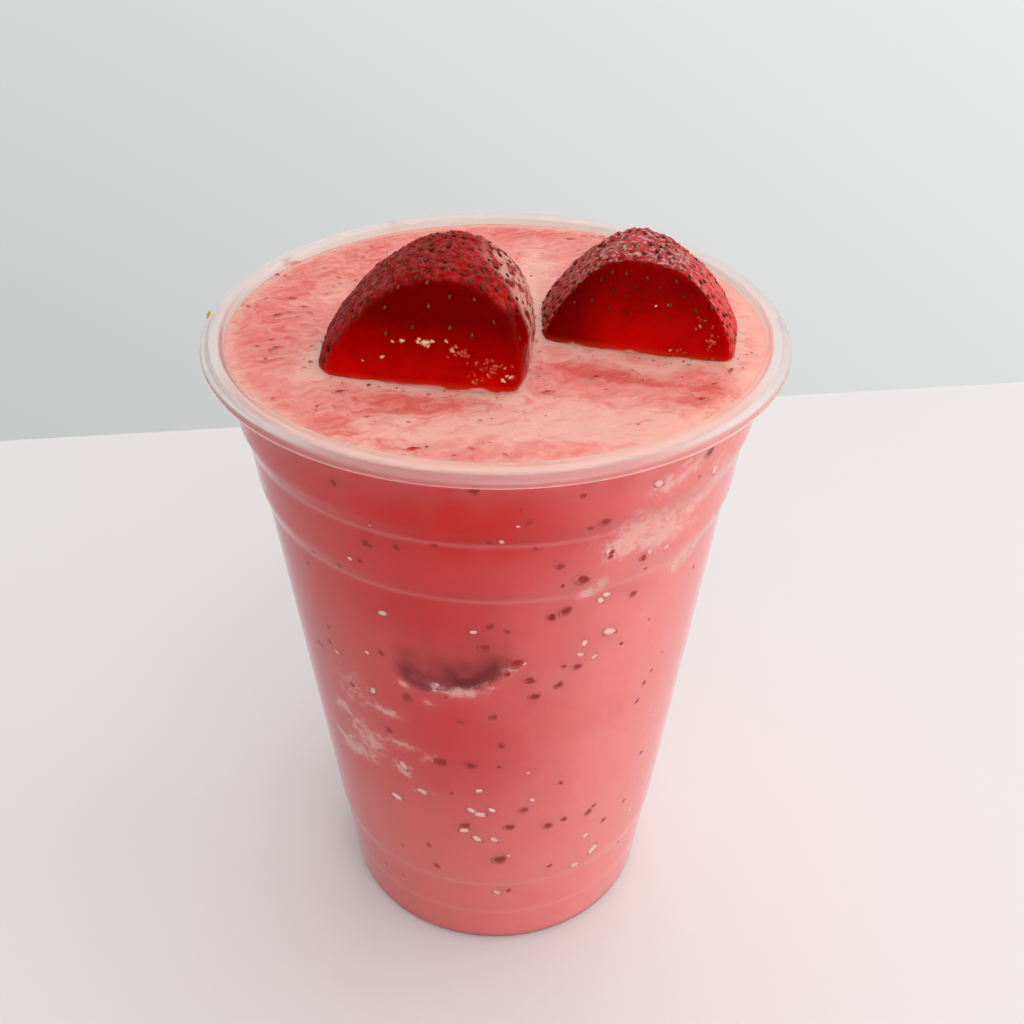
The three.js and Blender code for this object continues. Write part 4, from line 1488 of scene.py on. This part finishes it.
class SHAKE_OT_wall_specks(bpy.types.Operator):
    """Makes the seeds and pulp specks and the frosty chips that show through the cup's wall"""

    bl_idname = "shake.make_wall_specks"
    bl_label = "Specks in the wall"

    def execute(self, context):
        look = context.scene.shake_drink
        inset = shake_inset(context.scene)
        dark = bit_finish("wall_speck", (0.5, 0.025, 0.027), (0.28, 0.012, 0.014), 0.5, "painted")
        pale = bit_finish("frost_chip", (0.97, 0.76, 0.7), (0.9, 0.5, 0.46), 0.35, "painted")
        draw = np.random.default_rng(7)
        loose = np.stack([
            draw.uniform(-180.0, 180.0, LOOSE_SPECKS),
            draw.uniform(12.0, 116.0, LOOSE_SPECKS),
            draw.uniform(0.5, 1.2, LOOSE_SPECKS),
        ], axis=-1)
        specks = np.concatenate([np.array(WALL_SPECKS), loose])
        bit = pebble("speck", (1.4, 1.05, 0.1), 12, 7, point=0.3, rough=0.22, seed=2)
        dress(self.in_wall("wall_specks", specks, look, inset, bit, dark, 3))
        chips = np.concatenate([np.array(WALL_FLECKS), self.chips(draw)])
        chip = pebble("chip", (1.5, 0.85, 0.1), 12, 7, point=0.2, rough=0.3, seed=9)
        dress(self.in_wall("frost_chips", chips, look, inset, chip, pale, 8))
        return {"FINISHED"}

    def chips(self, draw):
        """Frosty chips inside the pale streaks, as degrees, height and size."""
        kept = []
        for _ in range(CHIP_TRIES):
            angle, height = draw.uniform(-180.0, 180.0), draw.uniform(20.0, 114.0)
            share = patches(np.array(WALL_ARC * angle), np.array(height), SIDE_PALE)
            if draw.random() < 0.012 + 0.5 * share ** 2:
                kept.append((angle, height, draw.uniform(0.4, 1.1)))
        return np.array(kept)

    def in_wall(self, name, spots, look, inset, bit, finish, seed):
        """Bits that lie flat on the shake's side, half sunk in it."""
        draw = np.random.default_rng(seed)
        turn = np.radians(spots[:, 0] - 90.0)
        out = np.stack([np.cos(turn), np.sin(turn), np.full(len(spots), -TAPER)], axis=-1)
        spin = draw.uniform(-1.5, 1.5, len(spots))
        level = np.stack([-np.sin(turn), np.cos(turn), np.zeros(len(spots))], axis=-1)
        along = level * np.cos(spin)[:, None] + np.array((0.0, 0.0, 1.0)) * np.sin(spin)[:, None]
        points = on_wall(spots[:, 0], spots[:, 1], inset)
        # The ground is the side's colour at each bit, painted shade and light included.
        in_shade, red = side_shade_shares(spots[:, 0], spots[:, 1], side_sway(points))
        ground = np.tile(np.array(look.pale_wall), (len(spots), 1))
        for share, colour in ((0.92 * in_shade, look.in_shade), (red, look.red)):
            ground += share[:, None] * (np.array(colour) - ground)
        start = mesh_of_places("places", points, {
            "up": out,
            "along": along,
            "size": spots[:, 2],
            "tone": draw.random(len(spots)),
            "ground": ground,
        })
        return placed_bits(name, start, bit, finish)


class SHAKE_OT_sunk_berry(bpy.types.Operator):
    """Makes the sunk berry slice that shows dimly at the front wall, and the seed stuck on the rim"""

    bl_idname = "shake.make_sunk_berry"
    bl_label = "Sunk berry and rim seed"

    def execute(self, context):
        finish = bit_finish("sunk_berry", (0.26, 0.014, 0.018), (0.2, 0.008, 0.01), 0.5, clear=0.3)
        dress(self.slice(shake_inset(context.scene), finish))
        gold = bit_finish("rim_seed", (0.6, 0.42, 0.06), (0.35, 0.22, 0.03), 0.35)
        dress(self.rim_seed(context.scene.shake_cup, gold))
        return {"FINISHED"}

    def slice(self, inset, finish):
        """A thin uneven slice that follows the wall, its lower edge crisp against it."""
        turn = np.linspace(0.0, 2.0 * math.pi, 96, endpoint=False)
        rows = np.linspace(0.0, 1.0, 22)[1:]
        angle = -7.5 + 11.5 * rows[:, None] * np.cos(turn)
        height = sunk_edge(angle)[0] + 1.9 + 1.5 * rows[:, None] * np.sin(turn)
        spread = np.stack([angle * 0.6, height, np.zeros_like(angle)], axis=-1)
        height = height + 1.0 * lumps(spread, 2.0, 3, 4.0) * rows[:, None]
        proud = 0.04 - 0.4 * rows[:, None] ** 2 + 0.16 * lumps(spread, 1.8, 3, 6.0)
        outer = on_wall(angle, height, inset - proud)
        inner = on_wall(angle[::-1], height[::-1], inset + 3.0)
        rings = np.concatenate([outer, inner])
        mesh = mesh_of_rings("sunk_berry_slice", rings, outer[0].mean(axis=0), inner[-1].mean(axis=0))
        outward(mesh)
        fade = np.repeat(np.clip(1.15 * rows, 0.1, 1.0), len(turn))
        values = np.concatenate([[0.1], fade, fade[::-1], [0.1]])
        mesh.attributes.new("tone", "FLOAT", "POINT").data.foreach_set("value", values.astype(np.float32))
        mesh.materials.append(finish)
        return new_object("sunk_berry_slice", mesh)

    def rim_seed(self, sizes, finish):
        """One loose seed that sticks to the outside of the rim's bead."""
        turn = math.radians(RIM_SEED_TURN)
        out = np.array([math.cos(turn), math.sin(turn), 0.0])
        point = out * (sizes.rim_radius / MM + 0.1) + np.array([0.0, 0.0, BEAD_HEIGHT + 0.25])
        start = mesh_of_places("places", [point], {
            "up": [out + np.array([0.0, 0.0, 0.3])],
            "along": [(0.0, 0.25, 1.0)],
            "size": [1.0],
            "tone": [0.8],
        })
        bit = pebble("seed", (1.5, 0.95, 0.7), 12, 8, point=0.5)
        return placed_bits("rim_seed", start, bit, finish)


class SHAKE_PT_panel(bpy.types.Panel):
    """Lists the steps in order"""

    bl_label = "Strawberry shake"
    bl_idname = "SHAKE_PT_panel"
    bl_space_type = "VIEW_3D"
    bl_region_type = "UI"
    bl_category = "Shake"

    def draw(self, context):
        for operator in OPERATORS:
            self.layout.operator(operator.bl_idname)
        for group in GROUPS:
            settings = getattr(context.scene, group)
            box = self.layout.box()
            for name in settings.__annotations__:
                box.prop(settings, name)


OPERATORS = (
    SHAKE_OT_stage,
    SHAKE_OT_cup,
    SHAKE_OT_shake,
    SHAKE_OT_berries,
    SHAKE_OT_pulp,
    SHAKE_OT_wall_specks,
    SHAKE_OT_sunk_berry,
)
GROUPS = {
    "shake_cup": CupSizes,
    "shake_drink": ShakeLook,
    "shake_berries": BerryLook,
    "shake_stage": StageLook,
}
CLASSES = (*GROUPS.values(), *OPERATORS, SHAKE_PT_panel)


def register():
    """Adds the classes, and the settings to the scene."""
    for item in CLASSES:
        bpy.utils.register_class(item)
    for name, group in GROUPS.items():
        setattr(bpy.types.Scene, name, PointerProperty(type=group))


def unregister():
    """Takes the settings and classes away again."""
    for name in GROUPS:
        delattr(bpy.types.Scene, name)
    for item in reversed(CLASSES):
        bpy.utils.unregister_class(item)


def main():
    """Makes every piece in order."""
    register()
    bpy.ops.shake.make_stage()
    bpy.ops.shake.make_cup()
    bpy.ops.shake.make_shake()
    bpy.ops.shake.make_berries()
    bpy.ops.shake.make_pulp()
    bpy.ops.shake.make_wall_specks()
    bpy.ops.shake.make_sunk_berry()


if __name__ == "__main__":
    main()
